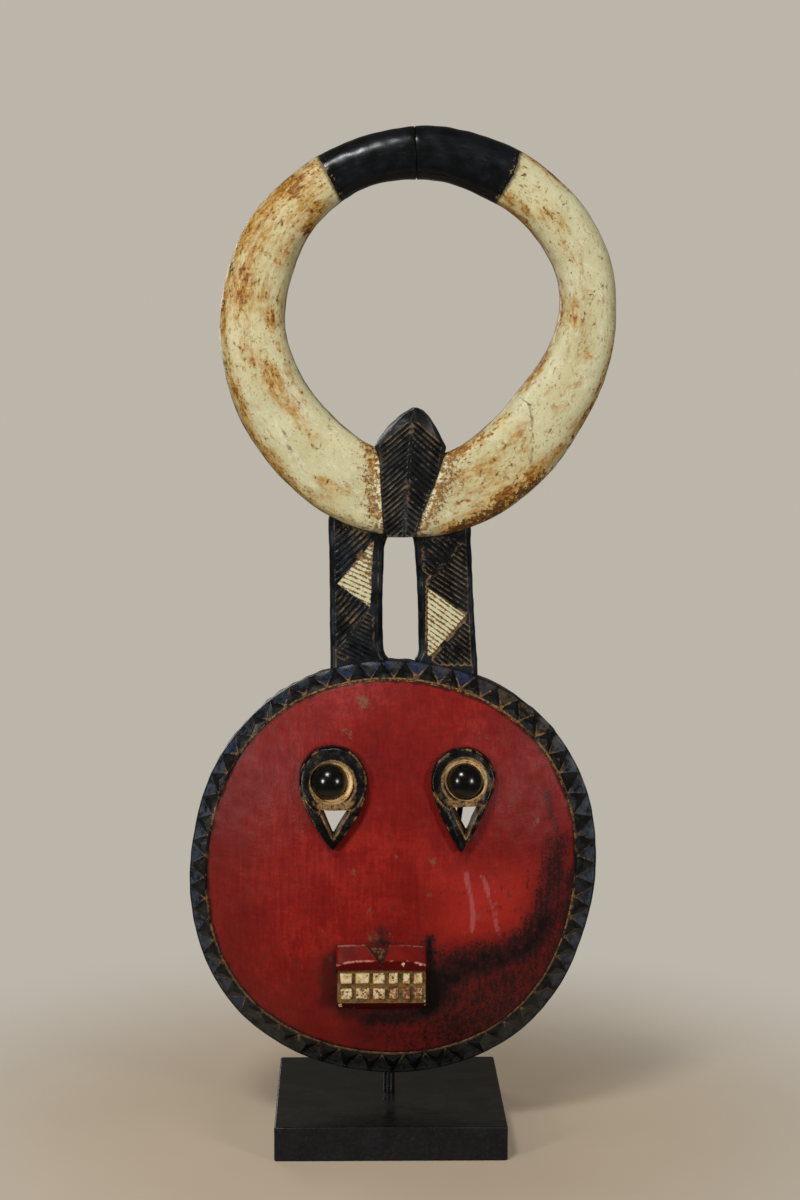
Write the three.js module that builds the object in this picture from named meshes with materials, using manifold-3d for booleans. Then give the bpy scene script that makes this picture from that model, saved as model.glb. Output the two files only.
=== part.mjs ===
// A horned disc mask on a black stand: one carved board with a domed round face, two legs, a leaf and
// a ring of two horns, held up by a forked steel post in a square block.
// Millimetres, +Z up. The face looks along -Y and the stand's block is centred on the origin.
import * as THREE from "three";
import { mergeVertices } from "three/addons/utils/BufferGeometryUtils.js";
import Module from "manifold-3d";

// Stand
const GAP = 0.3;
const BLOCK_SIDE = 200;
const BLOCK_HEIGHT = 30;
const BLOCK_EDGE = 1.2;
const BLOCK_CORNER = 2.5;
const POST_RADIUS = 5;
const POST_TOP = 168;
const ARM_RADIUS = 2.6;
const ARM_ROOT = 152;
const ARM_TURN = 0.46;
const ARM_MIDDLE = -2;

// Round face: its centre, its outlines and its depths, all measured from the middle of the disc
const DISC = { x: 2.4, z: 237.7 };
const RIM_OUTLINE = [182.85, -0.3, 0.13, 2.95, 1.75, 0, 0, -1.92, -1.07];
const FIELD_OUTLINE = [164.65, 2.9, -2.0, 2.57, 0.99, 0.37, 0, -2.19, -1.11];
const BACK_Y = -5.4;
const RIM_Y = -22;
const FIELD_Y = -35;
const DOME_RISE = 35;
const TEETH = 55;
const TOOTH_RISE = 3.4;
const TOOTH_FOOT = 2.6;
const HOLLOW_BORDER = 17;
const SHELL = 13.5;

// Eyes: the teardrop round each one, its ball and the hole under the ball
const EYE_RISE = 9.3;
const EYE_BAND_EDGE = 1.4;
const BALL_RADIUS = 15.6;
const BALL_RISE = 13.2;
const BALL_SKIRT = 3.4;
const SOCKET_FLOOR = 2.5;
const EYES = [
  {
    name: "eye_left", x: -50.2, z: 323.5, half: 29.4, up: 29.1, down: 58.8, lean: 0, fullness: 1.85,
    socket: { x: -47.7, z: 320.6, radius: 20.6, floor: 17 }, ball: { x: -52.9, z: 321.5 },
    hole: [[-58.8, 296.5], [-37.8, 296.5], [-49.9, 276.4]],
    mouth: [[-62, 299.6], [-35.2, 299.6], [-50, 273.5]],
  },
  {
    name: "eye_right", x: 61.6, z: 324.5, half: 28, up: 26.2, down: 62.3, lean: -2.1, fullness: 1.55,
    socket: { x: 61.2, z: 323.1, radius: 20.4, floor: 17 }, ball: { x: 62.9, z: 321.6 },
    hole: [[54.8, 298.4], [74.6, 299.1], [64.8, 278.2]],
    mouth: [[50.6, 301.6], [78, 302.2], [63.6, 274.5]],
  },
];

// Mouth: a block with a sloping upper lip, two rows of teeth and a narrow lower lip
const MOUTH = { x: -8.2, half: 38.8, top: 181, ridge: 168, lip: 158.6, teeth: 130.3, bottom: 123.5 };
const MOUTH_Y = { ridge: -73, lip: -72, gum: -67.4, low: -69, under: -64 };
const NOTCH = [[-24.2, 183], [-0.9, 183], [-7.5, 164]];
const TEETH_X = [[-43.6, -33.6], [-30.6, -18.6], [-15.6, -5.2], [-1.8, 6.3], [10.2, 16.3], [19.8, 27.1]];
const TEETH_Z = [[147.1, 156.6], [133.4, 142.7]];
const TEETH_Y = -70.4;

// Legs: for each height the left and right side of the leg
const LEG_BEVEL = 4.6;
const LEG_FRONT = [[404, -20.6], [424, -20.8], [533, -27.5], [556, -27.5]];
const LEG_LEFT = [
  [404, -52.6, -4.5], [422, -52.6, -2.6], [425, -52.7, -5.4], [430, -52.7, -7], [475, -53, -7.1],
  [520, -53.9, -6.2], [527, -54, -4.4], [532, -54.1, -1.5], [545, -54.2, -1.5], [556, -51, -1.5],
];
const LEG_RIGHT = [
  [404, 21.5, 76.2], [422, 21, 75.4], [425, 23.4, 75], [430, 24.8, 74.6], [475, 22.8, 71.8],
  [520, 20.6, 69.4], [527, 19.2, 69.2], [532, 16.5, 69], [544, 16.5, 68.6], [556, 16.5, 66],
];

// Leaf between the horns: height, left edge, ridge, right edge
const LEAF = [
  [531, -6.6, 10.5, 21.5], [536, -7.6, 10.8, 22.6], [549, -10, 11.7, 27], [564, -11.1, 12.4, 33.4],
  [575, -12, 12.9, 38.6], [588, -12.5, 13.7, 43], [600, -12.8, 14.8, 44.6], [607.5, -14.8, 15.5, 46.2],
  [615.5, -9.9, 16.2, 42.1], [625.5, -2.2, 16.8, 37], [634, 7.4, 17.2, 31.6], [638.6, 13.8, 17.6, 27.6],
  [640.8, 17.4, 18.8, 22.6],
];
const LEAF_RIDGE_Y = -47.5;
const LEAF_EDGE_Y = -42.6;

// Horn ring: centre, inner and outer outline, depth
const RING = { x: 26, y: -21, z: 716 };
const RING_OUTER = [171.43, -8.96, -3.9, 2.18, 2.95, -2.96, 0, 0.88, -0.29, 0.33, 0.14];
const RING_INNER = [115.11, 4.45, -2.59, 0.68, 1.91, -3.52, -1.94, 1.74, -1.08, -0.4, 0.18];
const RING_HALF_DEPTH = 20.5;
const RING_SQUARENESS = { round: 2.5, foot: 4.2 };
const RING_STEPS = 60;
const RING_SIDES = 12;

// Carved hatching: each field's corners, the slope of its lines in degrees and their spacing
const GROOVE = { width: 2.7, depth: 1.1, above: 0.3, end: 1 };
const HATCH_LEFT = [
  { field: [[-48.5, 534], [-17.5, 528.5], [-16.5, 527], [-46.2, 491], [-48.5, 490]], slope: 44, pitch: 4.4 },
  { field: [[-15.6, 526.6], [-45.4, 490.4], [-18.6, 473.2]], slope: -24, pitch: 3.9 },
  { field: [[-48.5, 488], [-46, 488], [-18.5, 470], [-20.5, 466.5], [-48.5, 427.5]], slope: 47, pitch: 4.3 },
  { field: [[-19, 466], [-16.8, 462], [-16.8, 424], [-45, 424], [-47, 427]], slope: -27, pitch: 3.8 },
];
const HATCH_RIGHT = [
  { field: [[28, 528], [58, 528], [53.5, 518.8], [30.4, 493.6], [28.6, 494]], slope: -39, pitch: 4.2 },
  { field: [[55.5, 517], [64, 526.5], [65.5, 462.5], [32, 486.5], [31, 490]], slope: -33, pitch: 4.1 },
  { field: [[32.4, 483.4], [63.2, 460.6], [33.6, 427.2]], slope: -36, pitch: 3.8 },
  { field: [[64.8, 456], [67.3, 452], [68.6, 419], [39, 419], [36.6, 421.4]], slope: -38, pitch: 3.9 },
];
const LEAF_GROOVE_SLOPE = 41;
const LEAF_GROOVE_PITCH = 3.9;
const LEAF_GROOVE_REACH = 0.86;

const manifold = await Module();
manifold.setup();

// A smooth closed outline: its mean radius, then a cosine and a sine part for each wave
function outline(waves, turn) {
  let radius = waves[0];
  for (let k = 1; 2 * k < waves.length; k += 1) {
    radius += waves[2 * k - 1] * Math.cos(k * turn) + waves[2 * k] * Math.sin(k * turn);
  }
  return radius;
}

function blend(rows, at, column) {
  const last = rows.length - 1;
  if (at <= rows[0][0]) {
    return rows[0][column];
  }
  for (let i = 0; i < last; i += 1) {
    const share = (at - rows[i][0]) / (rows[i + 1][0] - rows[i][0]);
    if (share <= 1) {
      return THREE.MathUtils.lerp(rows[i][column], rows[i + 1][column], share);
    }
  }
  return rows[last][column];
}

// Depth of the domed field, before anything is raised on it
function domeY(x, z) {
  const dx = x - DISC.x;
  const dz = z - DISC.z;
  const share = Math.hypot(dx, dz) / outline(FIELD_OUTLINE, Math.atan2(dx, dz));
  return FIELD_Y - DOME_RISE * (1 - share * share);
}

function domeNormal(x, z) {
  const slopeX = domeY(x + 1, z) - domeY(x - 1, z);
  const slopeZ = domeY(x, z + 1) - domeY(x, z - 1);
  return new THREE.Vector3(slopeX, -2, slopeZ).normalize();
}

// A closed skin of points and triangles, turned the right way out
function solid(points, faces) {
  let volume = 0;
  const [a, b, c] = [new THREE.Vector3(), new THREE.Vector3(), new THREE.Vector3()];
  for (const face of faces) {
    a.fromArray(points[face[0]]);
    b.fromArray(points[face[1]]);
    c.fromArray(points[face[2]]);
    volume += a.dot(b.cross(c));
  }
  const triangles = volume < 0 ? faces.map(([p, q, r]) => [p, r, q]) : faces;
  return new manifold.Manifold(new manifold.Mesh({
    numProp: 3,
    vertProperties: new Float32Array(points.flat()),
    triVerts: new Uint32Array(triangles.flat()),
  }));
}

function solidOf(geometry, matrix = new THREE.Matrix4()) {
  const bare = geometry.clone().applyMatrix4(matrix);
  bare.deleteAttribute("normal");
  bare.deleteAttribute("uv");
  const merged = mergeVertices(bare, 1e-3);
  const position = merged.getAttribute("position");
  const points = [];
  for (let i = 0; i < position.count; i += 1) {
    points.push([position.getX(i), position.getY(i), position.getZ(i)]);
  }
  const faces = [];
  for (let i = 0; i < merged.index.count; i += 3) {
    const face = [merged.index.getX(i), merged.index.getX(i + 1), merged.index.getX(i + 2)];
    if (new Set(face).size === 3) {
      faces.push(face);
    }
  }
  return solid(points, faces);
}

function geometryOf(body) {
  const mesh = body.getMesh();
  const geometry = new THREE.BufferGeometry();
  geometry.setAttribute("position", new THREE.BufferAttribute(mesh.vertProperties, 3));
  geometry.setIndex(new THREE.BufferAttribute(mesh.triVerts, 1));
  geometry.computeVertexNormals();
  return geometry;
}

function capFaces(loop, first, drop, forward) {
  const flat = loop.map((point) => new THREE.Vector2(...point.filter((_, axis) => axis !== drop)));
  const faces = THREE.ShapeUtils.triangulateShape(flat, []);
  const next = (i) => (i + 1) % loop.length;
  const runs = faces.some(([p, q, r]) => q === next(p) || r === next(q) || p === next(r));
  const turned = runs === forward ? faces : faces.map(([p, q, r]) => [p, r, q]);
  return turned.map((face) => face.map((i) => i + first));
}

// A skin stretched over a row of like loops: capped at both ends, or closed on itself when no axis
// across the caps is given
function loft(loops, drop = null) {
  const size = loops[0].length;
  const faces = [];
  const bands = drop === null ? loops.length : loops.length - 1;
  for (let i = 0; i < bands; i += 1) {
    const a = i * size;
    const b = ((i + 1) % loops.length) * size;
    for (let j = 0; j < size; j += 1) {
      const k = (j + 1) % size;
      faces.push([a + j, a + k, b + k], [a + j, b + k, b + j]);
    }
  }
  if (drop !== null) {
    faces.push(...capFaces(loops[0], 0, drop, false));
    faces.push(...capFaces(loops[loops.length - 1], (loops.length - 1) * size, drop, true));
  }
  return solid(loops.flat(), faces);
}

// The round face: rings of points from the middle of the front over the rim to the middle of the back
function makeDisc() {
  const points = [];
  const faces = [];
  const ring = (count, shift, place) => {
    const list = [];
    for (let i = 0; i < count; i += 1) {
      const turn = ((i + shift) / count) * 2 * Math.PI;
      const [radius, y] = place(turn);
      points.push([DISC.x + radius * Math.sin(turn), y, DISC.z + radius * Math.cos(turn)]);
      list.push({ index: points.length - 1, turn });
    }
    return list;
  };
  const stitch = (inner, outer, peak = null) => {
    const reach = (list, i) => list[i % list.length].turn + (i >= list.length ? 2 * Math.PI : 0);
    let i = 0;
    let j = 0;
    while (i < inner.length || j < outer.length) {
      const stepIn = i < inner.length && (j >= outer.length || reach(inner, i + 1) <= reach(outer, j + 1));
      const a = inner[i % inner.length].index;
      const b = outer[j % outer.length].index;
      if (stepIn) {
        const c = inner[(i + 1) % inner.length].index;
        faces.push(...(peak ? peak(a, c, b) : [[a, c, b]]));
        i += 1;
      } else {
        const c = outer[(j + 1) % outer.length].index;
        faces.push([a, c, b]);
        j += 1;
      }
    }
  };
  // Each tooth is a pyramid: two corners at the field, its point at the outer edge, its top between
  const tooth = (a, c, b) => {
    const at = (share, axis) => {
      const foot = (points[a][axis] + points[c][axis]) / 2;
      return THREE.MathUtils.lerp(foot, points[b][axis], share);
    };
    points.push([at(0.36, 0), at(0.36, 1) - TOOTH_RISE, at(0.36, 2)]);
    const top = points.length - 1;
    return [[a, c, top], [c, b, top], [b, a, top]];
  };
  const field = (turn) => outline(FIELD_OUTLINE, turn);
  const rim = (turn) => outline(RIM_OUTLINE, turn);
  const domed = (share) => (turn) => [field(turn) * share, FIELD_Y - DOME_RISE * (1 - share * share)];
  const hollow = (share, y) => (turn) => [(rim(turn) - HOLLOW_BORDER) * share, y];
  const sunk = (share) => FIELD_Y + SHELL - DOME_RISE * (1 - share * share);
  const front = [
    ring(22, 0.5, domed(0.22)), ring(55, 0.5, domed(0.44)), ring(55, 0.5, domed(0.64)),
    ring(55, 0.5, domed(0.82)), ring(TEETH * 2, 0.5, domed(1)),
    ring(TEETH, 0.5, (turn) => [field(turn) + TOOTH_FOOT, FIELD_Y + 1]),
    ring(TEETH, 0, (turn) => [rim(turn), RIM_Y]),
  ];
  const back = [
    ring(TEETH, 0, (turn) => [rim(turn) - 0.6, BACK_Y - 4]),
    ring(TEETH, 0, (turn) => [rim(turn) - 4, BACK_Y]),
    ring(TEETH, 0, hollow(1, BACK_Y)), ring(TEETH, 0, hollow(0.94, -20)),
    ring(TEETH, 0, hollow(0.8, sunk(0.82))), ring(TEETH, 0, hollow(0.55, sunk(0.57))),
    ring(22, 0, hollow(0.28, sunk(0.29))),
  ];
  const rings = [...front, ...back];
  for (let i = 0; i + 1 < rings.length; i += 1) {
    const toRim = i + 1 === front.length - 1;
    stitch(rings[i], rings[i + 1], toRim ? tooth : null);
  }
  const fan = (list, y, flip) => {
    points.push([DISC.x, y, DISC.z]);
    const middle = points.length - 1;
    list.forEach(({ index }, i) => {
      const next = list[(i + 1) % list.length].index;
      faces.push(flip ? [middle, index, next] : [middle, next, index]);
    });
  };
  fan(front[0], FIELD_Y - DOME_RISE, false);
  fan(back[back.length - 1], sunk(0), true);
  return solid(points, faces);
}

// The teardrop round an eye: round above, drawn out to a point below
function eyeOutline(eye, steps = 28) {
  const list = [];
  for (let i = 0; i < steps; i += 1) {
    const turn = (i / steps) * 2 * Math.PI;
    const across = Math.sin(turn);
    const along = Math.cos(turn);
    if (along >= 0) {
      list.push([eye.x + eye.half * across, eye.z + eye.up * along]);
    } else {
      const drop = 1 - Math.abs(across) ** 1.4;
      const width = Math.sign(across) * eye.half * (1 - drop ** eye.fullness);
      list.push([eye.x + width + eye.lean * drop, eye.z - eye.down * drop]);
    }
  }
  return list;
}

function makeEyeBand(eye) {
  const border = eyeOutline(eye);
  const middle = [eye.x, eye.z - 8];
  const loop = (inset, rise) => border.map(([x, z]) => {
    const share = 1 - inset / Math.hypot(x - middle[0], z - middle[1]);
    const [px, pz] = [middle[0] + (x - middle[0]) * share, middle[1] + (z - middle[1]) * share];
    return [px, domeY(px, pz) - rise, pz];
  });
  return loft([loop(0, -5), loop(0, EYE_RISE - EYE_BAND_EDGE), loop(EYE_BAND_EDGE, EYE_RISE)], 1);
}

// Where something stands on the dome: its own axis points straight out of the surface
function onDome(x, z) {
  const out = domeNormal(x, z);
  const turn = new THREE.Quaternion().setFromUnitVectors(new THREE.Vector3(0, 1, 0), out);
  return new THREE.Matrix4().compose(new THREE.Vector3(x, domeY(x, z), z), turn, new THREE.Vector3(1, 1, 1));
}

function cutEye(body, eye) {
  const { socket, ball, hole, mouth } = eye;
  const cone = new THREE.LatheGeometry([
    new THREE.Vector2(0, SOCKET_FLOOR), new THREE.Vector2(socket.floor, SOCKET_FLOOR),
    new THREE.Vector2(socket.radius, EYE_RISE), new THREE.Vector2(socket.radius + 2, EYE_RISE + 8),
    new THREE.Vector2(0, EYE_RISE + 8),
  ], 28);
  const seat = new THREE.LatheGeometry([
    new THREE.Vector2(0, SOCKET_FLOOR - BALL_SKIRT), new THREE.Vector2(BALL_RADIUS + GAP, SOCKET_FLOOR - BALL_SKIRT),
    new THREE.Vector2(BALL_RADIUS + GAP, EYE_RISE + 8), new THREE.Vector2(0, EYE_RISE + 8),
  ], 28);
  const level = (corners, y) => corners.map(([x, z]) => [x, y, z]);
  const shaft = loft([level(mouth, -85), level(mouth, -66), level(hole, -51), level(hole, -30)], 1);
  return body
    .subtract(solidOf(cone, onDome(socket.x, socket.z)))
    .subtract(solidOf(seat, onDome(ball.x, ball.z)))
    .subtract(shaft);
}

function makeBall(eye) {
  const profile = [new THREE.Vector2(0, GAP), new THREE.Vector2(BALL_RADIUS, GAP)];
  for (let i = 0; i <= 5; i += 1) {
    const turn = (i / 5) * (Math.PI / 2);
    const radius = i === 5 ? 0 : BALL_RADIUS * Math.cos(turn);
    profile.push(new THREE.Vector2(radius, BALL_SKIRT + BALL_RISE * Math.sin(turn)));
  }
  const geometry = geometryOf(solidOf(new THREE.LatheGeometry(profile, 22)));
  const mesh = new THREE.Mesh(geometry, new THREE.MeshStandardMaterial({
    color: 0x0c0a0c, roughness: 0.12, metalness: 0,
  }));
  mesh.name = eye.name;
  const place = onDome(eye.ball.x, eye.ball.z);
  mesh.quaternion.setFromRotationMatrix(place);
  mesh.position.set(0, SOCKET_FLOOR - BALL_SKIRT, 0).applyMatrix4(place);
  return mesh;
}

// The mouth: one slice of its outline at each station from left to right
function makeMouth() {
  const slices = [];
  for (const share of [-1, -0.985, -0.8, -0.45, 0, 0.45, 0.8, 0.985, 1]) {
    const x = MOUTH.x + MOUTH.half * share;
    const end = Math.abs(share) === 1 ? 0.8 : 0;
    const top = MOUTH.top - 2 * share * share - end;
    const ridge = MOUTH.ridge - 4.2 * share ** 4 - end;
    const bottom = MOUTH.bottom + end;
    slices.push([
      [x, domeY(x, top) + 5, top], [x, domeY(x, top) - 1.4, top], [x, MOUTH_Y.ridge + end, ridge],
      [x, MOUTH_Y.lip + end, MOUTH.lip], [x, MOUTH_Y.gum, MOUTH.lip - 0.3], [x, MOUTH_Y.gum, MOUTH.teeth + 0.3],
      [x, MOUTH_Y.low + end, MOUTH.teeth], [x, MOUTH_Y.under, bottom], [x, domeY(x, bottom) + 5, bottom],
    ]);
  }
  const notchY = (z, deeper) => -63.5 - deeper - (6.5 * (MOUTH.top - z)) / (MOUTH.top - MOUTH.ridge + 4);
  const notch = loft([NOTCH.map(([x, z]) => [x, -85, z]), NOTCH.map(([x, z]) => [x, notchY(z, 0), z])], 1);
  let body = loft(slices, 0).subtract(notch);
  for (const [left, right] of TEETH_X) {
    for (const [low, high] of TEETH_Z) {
      const face = (inset, y) => [
        [left + inset, y, low + inset], [right - inset, y, low + inset],
        [right - inset, y, high - inset], [left + inset, y, high - inset],
      ];
      body = body.add(loft([face(0, MOUTH_Y.gum + 1.5), face(0, TEETH_Y + 0.9), face(0.8, TEETH_Y)], 1));
    }
  }
  return body;
}

const legFront = (z) => blend(LEG_FRONT, z, 1);

function makeLeg(rows) {
  const c = LEG_BEVEL;
  return loft(rows.map(([z, left, right]) => {
    const f = legFront(z);
    return [
      [left + 1.5, BACK_Y, z], [left, BACK_Y - 1.5, z], [left, f + c, z], [left + 0.35 * c, f + 0.35 * c, z],
      [left + c, f, z], [right - c, f, z], [right - 0.35 * c, f + 0.35 * c, z], [right, f + c, z],
      [right, BACK_Y - 1.5, z], [right - 1.5, BACK_Y, z],
    ];
  }), 2);
}

function leafFront(x, z) {
  const ridge = blend(LEAF, z, 2);
  const edge = blend(LEAF, z, x < ridge ? 1 : 3);
  const share = Math.min(1, Math.abs((x - ridge) / (edge - ridge)));
  return THREE.MathUtils.lerp(LEAF_RIDGE_Y, LEAF_EDGE_Y, share);
}

function makeLeaf() {
  const tip = LEAF[LEAF.length - 1][0];
  return loft(LEAF.map(([z, left, ridge, right]) => {
    const fade = THREE.MathUtils.smoothstep(z, tip - 14, tip);
    const y = (depth) => depth + 2.5 * fade;
    const shoulder = (edge) => THREE.MathUtils.lerp(ridge, edge, 0.88);
    return [
      [left + 1, BACK_Y - 4 * fade, z], [left, BACK_Y - 2 - 4 * fade, z], [left, y(LEAF_EDGE_Y + 6), z],
      [shoulder(left), y(LEAF_EDGE_Y - 0.6), z], [ridge, y(LEAF_RIDGE_Y), z],
      [shoulder(right), y(LEAF_EDGE_Y - 0.6), z], [right, y(LEAF_EDGE_Y + 6), z],
      [right, BACK_Y - 2 - 4 * fade, z], [right - 1, BACK_Y - 4 * fade, z],
    ];
  }), 2);
}

// The two horns meet at the top, so together they are one ring with a soft section, squarer over the legs
function makeRing() {
  const loops = [];
  for (let i = 0; i < RING_STEPS; i += 1) {
    const turn = (i / RING_STEPS) * 2 * Math.PI;
    const outer = outline(RING_OUTER, turn);
    const inner = outline(RING_INNER, turn);
    const foot = THREE.MathUtils.smoothstep(-Math.cos(turn), 0.7, 0.93);
    const square = THREE.MathUtils.lerp(RING_SQUARENESS.round, RING_SQUARENESS.foot, foot);
    const loop = [];
    for (let j = 0; j < RING_SIDES; j += 1) {
      const round = (j / RING_SIDES) * 2 * Math.PI;
      const soft = (value) => Math.sign(value) * Math.abs(value) ** (2 / square);
      const radius = (outer + inner) / 2 + ((outer - inner) / 2) * soft(Math.cos(round));
      const y = RING.y + RING_HALF_DEPTH * soft(Math.sin(round));
      loop.push([RING.x + radius * Math.sin(turn), y, RING.z + radius * Math.cos(turn)]);
    }
    loops.push(loop);
  }
  return loft(loops);
}

// One V groove between two points of the surface
function groove([ax, az], [bx, bz], surface) {
  const length = Math.hypot(bx - ax, bz - az);
  const [dx, dz] = [(bx - ax) / length, (bz - az) / length];
  const half = GROOVE.width / 2;
  const side = (x, z, sign) => [x - dz * half * sign, surface(x, z) - GROOVE.above, z + dx * half * sign];
  const floor = (x, z, sign) => {
    const [px, pz] = [x + dx * GROOVE.end * sign, z + dz * GROOVE.end * sign];
    return [px, surface(px, pz) + GROOVE.depth, pz];
  };
  return loft([
    [side(ax, az, 1), side(ax, az, -1), floor(ax, az, 1)],
    [side(bx, bz, 1), side(bx, bz, -1), floor(bx, bz, -1)],
  ], Math.abs(dx) > Math.abs(dz) ? 0 : 2);
}

// Parallel lines across a field with convex corners
function hatchLines({ field, slope, pitch }) {
  const turn = THREE.MathUtils.degToRad(slope);
  const [dx, dz] = [Math.cos(turn), Math.sin(turn)];
  const heights = field.map(([x, z]) => z * dx - x * dz);
  const lines = [];
  const top = Math.max(...heights);
  for (let height = Math.min(...heights) + pitch * 0.6; height < top; height += pitch) {
    const cuts = [];
    field.forEach(([x, z], i) => {
      const [nx, nz] = field[(i + 1) % field.length];
      const [here, next] = [heights[i] - height, heights[(i + 1) % field.length] - height];
      if (here * next < 0) {
        const share = here / (here - next);
        cuts.push([x + (nx - x) * share, z + (nz - z) * share]);
      }
    });
    if (cuts.length === 2 && Math.hypot(cuts[0][0] - cuts[1][0], cuts[0][1] - cuts[1][1]) > 4) {
      lines.push(cuts);
    }
  }
  return lines;
}

// Herringbone of the leaf: lines that fall away from the ridge on both sides
function leafLines() {
  const lines = [];
  const fall = Math.tan(THREE.MathUtils.degToRad(LEAF_GROOVE_SLOPE));
  const [low, high] = [LEAF[0][0], LEAF[LEAF.length - 1][0]];
  for (let z = low + 6; z < high - 7; z += LEAF_GROOVE_PITCH / Math.cos(Math.atan(fall))) {
    for (const column of [1, 3]) {
      const ridge = blend(LEAF, z, 2);
      const sign = column === 1 ? -1 : 1;
      let reach = 1.6;
      while (reach < 34) {
        const [x, height] = [ridge + sign * reach, z - fall * reach];
        const limit = blend(LEAF, height, column) - blend(LEAF, height, 2);
        if (height < low + 2 || Math.abs(x - blend(LEAF, height, 2)) > LEAF_GROOVE_REACH * Math.abs(limit)) {
          break;
        }
        reach += 0.5;
      }
      if (reach > 5) {
        lines.push([[ridge + sign * 1.6, z - fall * 1.6], [ridge + sign * reach, z - fall * reach]]);
      }
    }
  }
  return lines;
}

function makeMask() {
  let body = makeDisc().add(makeLeg(LEG_LEFT)).add(makeLeg(LEG_RIGHT)).add(makeRing()).add(makeLeaf());
  body = body.add(makeMouth());
  for (const eye of EYES) {
    body = body.add(makeEyeBand(eye));
  }
  for (const eye of EYES) {
    body = cutEye(body, eye);
  }
  const front = (x, z) => legFront(z);
  for (const field of [...HATCH_LEFT, ...HATCH_RIGHT]) {
    for (const [from, to] of hatchLines(field)) {
      body = body.subtract(groove(from, to, front));
    }
  }
  for (const [from, to] of leafLines()) {
    body = body.subtract(groove(from, to, leafFront));
  }
  const mesh = new THREE.Mesh(geometryOf(body), new THREE.MeshStandardMaterial({
    color: 0x8c1d1c, roughness: 0.55, metalness: 0,
  }));
  mesh.name = "mask";
  return mesh;
}

// The post with its two arms: they rise behind the face, pass the eyes and hook under the upper rim
function makePost() {
  const post = new THREE.CylinderGeometry(POST_RADIUS, POST_RADIUS, POST_TOP - BLOCK_HEIGHT - GAP, 24);
  const upright = new THREE.Matrix4().makeRotationX(Math.PI / 2);
  upright.setPosition(0, 0, (POST_TOP + BLOCK_HEIGHT + GAP) / 2);
  let body = solidOf(post, upright);
  const section = new THREE.Shape();
  section.absarc(0, 0, ARM_RADIUS, 0, 2 * Math.PI);
  for (const side of [-1, 1]) {
    const turn = side * ARM_TURN;
    const reach = 0.945 * (outline(RIM_OUTLINE, turn) - HOLLOW_BORDER) - GAP - ARM_RADIUS - 1.2;
    const hook = (radius, y) => new THREE.Vector3(
      DISC.x + radius * Math.sin(turn), y, DISC.z + radius * Math.cos(turn),
    );
    const at = (x, z) => new THREE.Vector3(side * x + (z > 200 ? ARM_MIDDLE : 0), 0, z);
    const path = new THREE.CatmullRomCurve3([
      new THREE.Vector3(0, 0, ARM_ROOT), at(17, ARM_ROOT + 13), at(46, ARM_ROOT + 62), at(61, 268),
      at(65, 294), at(70, 330), hook(reach - 26, -0.5), hook(reach - 11, -3.5), hook(reach - 1.5, -12),
      hook(reach, -20),
    ], false, "centripetal");
    const arm = new THREE.ExtrudeGeometry(section, { steps: 22, curveSegments: 4, extrudePath: path });
    body = body.add(solidOf(arm));
  }
  const mesh = new THREE.Mesh(geometryOf(body), new THREE.MeshStandardMaterial({
    color: 0x141414, roughness: 0.35, metalness: 0.6,
  }));
  mesh.name = "stand_rod";
  return mesh;
}

function makeBlock() {
  const half = BLOCK_SIDE / 2;
  const c = BLOCK_CORNER;
  const loop = (inset, z) => {
    const h = half - inset;
    return [
      [h, -h + c, z], [h, h - c, z], [h - 0.3 * c, h - 0.3 * c, z], [h - c, h, z], [-h + c, h, z],
      [-h + 0.3 * c, h - 0.3 * c, z], [-h, h - c, z], [-h, -h + c, z], [-h + 0.3 * c, -h + 0.3 * c, z],
      [-h + c, -h, z], [h - c, -h, z], [h - 0.3 * c, -h + 0.3 * c, z],
    ];
  };
  const e = BLOCK_EDGE;
  const top = BLOCK_HEIGHT;
  const body = loft([
    loop(e, 0), loop(0, e), loop(0, top - e), loop(0.3 * e, top - 0.3 * e), loop(e, top),
  ], 2);
  const mesh = new THREE.Mesh(geometryOf(body), new THREE.MeshStandardMaterial({
    color: 0x10131a, roughness: 0.3, metalness: 0,
  }));
  mesh.name = "stand_base";
  return mesh;
}

const mask = new THREE.Group();
mask.add(makeMask(), ...EYES.map(makeBall), makePost(), makeBlock());

export default mask;
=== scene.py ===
"""A horned disc mask, carved from one board and painted, held by a forked post in a stone block."""

import math

import bmesh
import bpy
import numpy as np
from bpy.props import FloatProperty, FloatVectorProperty, PointerProperty
from mathutils import Matrix, Vector


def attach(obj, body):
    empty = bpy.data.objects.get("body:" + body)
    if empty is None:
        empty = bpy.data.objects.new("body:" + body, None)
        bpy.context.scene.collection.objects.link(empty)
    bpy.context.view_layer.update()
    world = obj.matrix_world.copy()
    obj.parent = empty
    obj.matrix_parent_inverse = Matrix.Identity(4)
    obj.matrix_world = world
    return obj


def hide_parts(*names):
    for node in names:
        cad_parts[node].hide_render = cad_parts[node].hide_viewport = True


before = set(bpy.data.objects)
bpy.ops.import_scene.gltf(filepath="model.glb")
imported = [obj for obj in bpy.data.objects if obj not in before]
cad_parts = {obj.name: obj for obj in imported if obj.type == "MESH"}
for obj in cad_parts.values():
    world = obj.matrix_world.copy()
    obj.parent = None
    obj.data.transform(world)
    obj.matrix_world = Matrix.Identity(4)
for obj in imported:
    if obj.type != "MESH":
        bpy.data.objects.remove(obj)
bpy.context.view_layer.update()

bl_info = {
    "name": "Horned disc mask",
    "version": (1, 0, 0),
    "blender": (4, 5, 0),
    "location": "View3D > Sidebar > Mask",
    "description": "Builds a carved and painted disc mask with a ring of horns on its stand",
    "category": "Object",
}

TURN = 2 * math.pi
MM = 0.001

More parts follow.
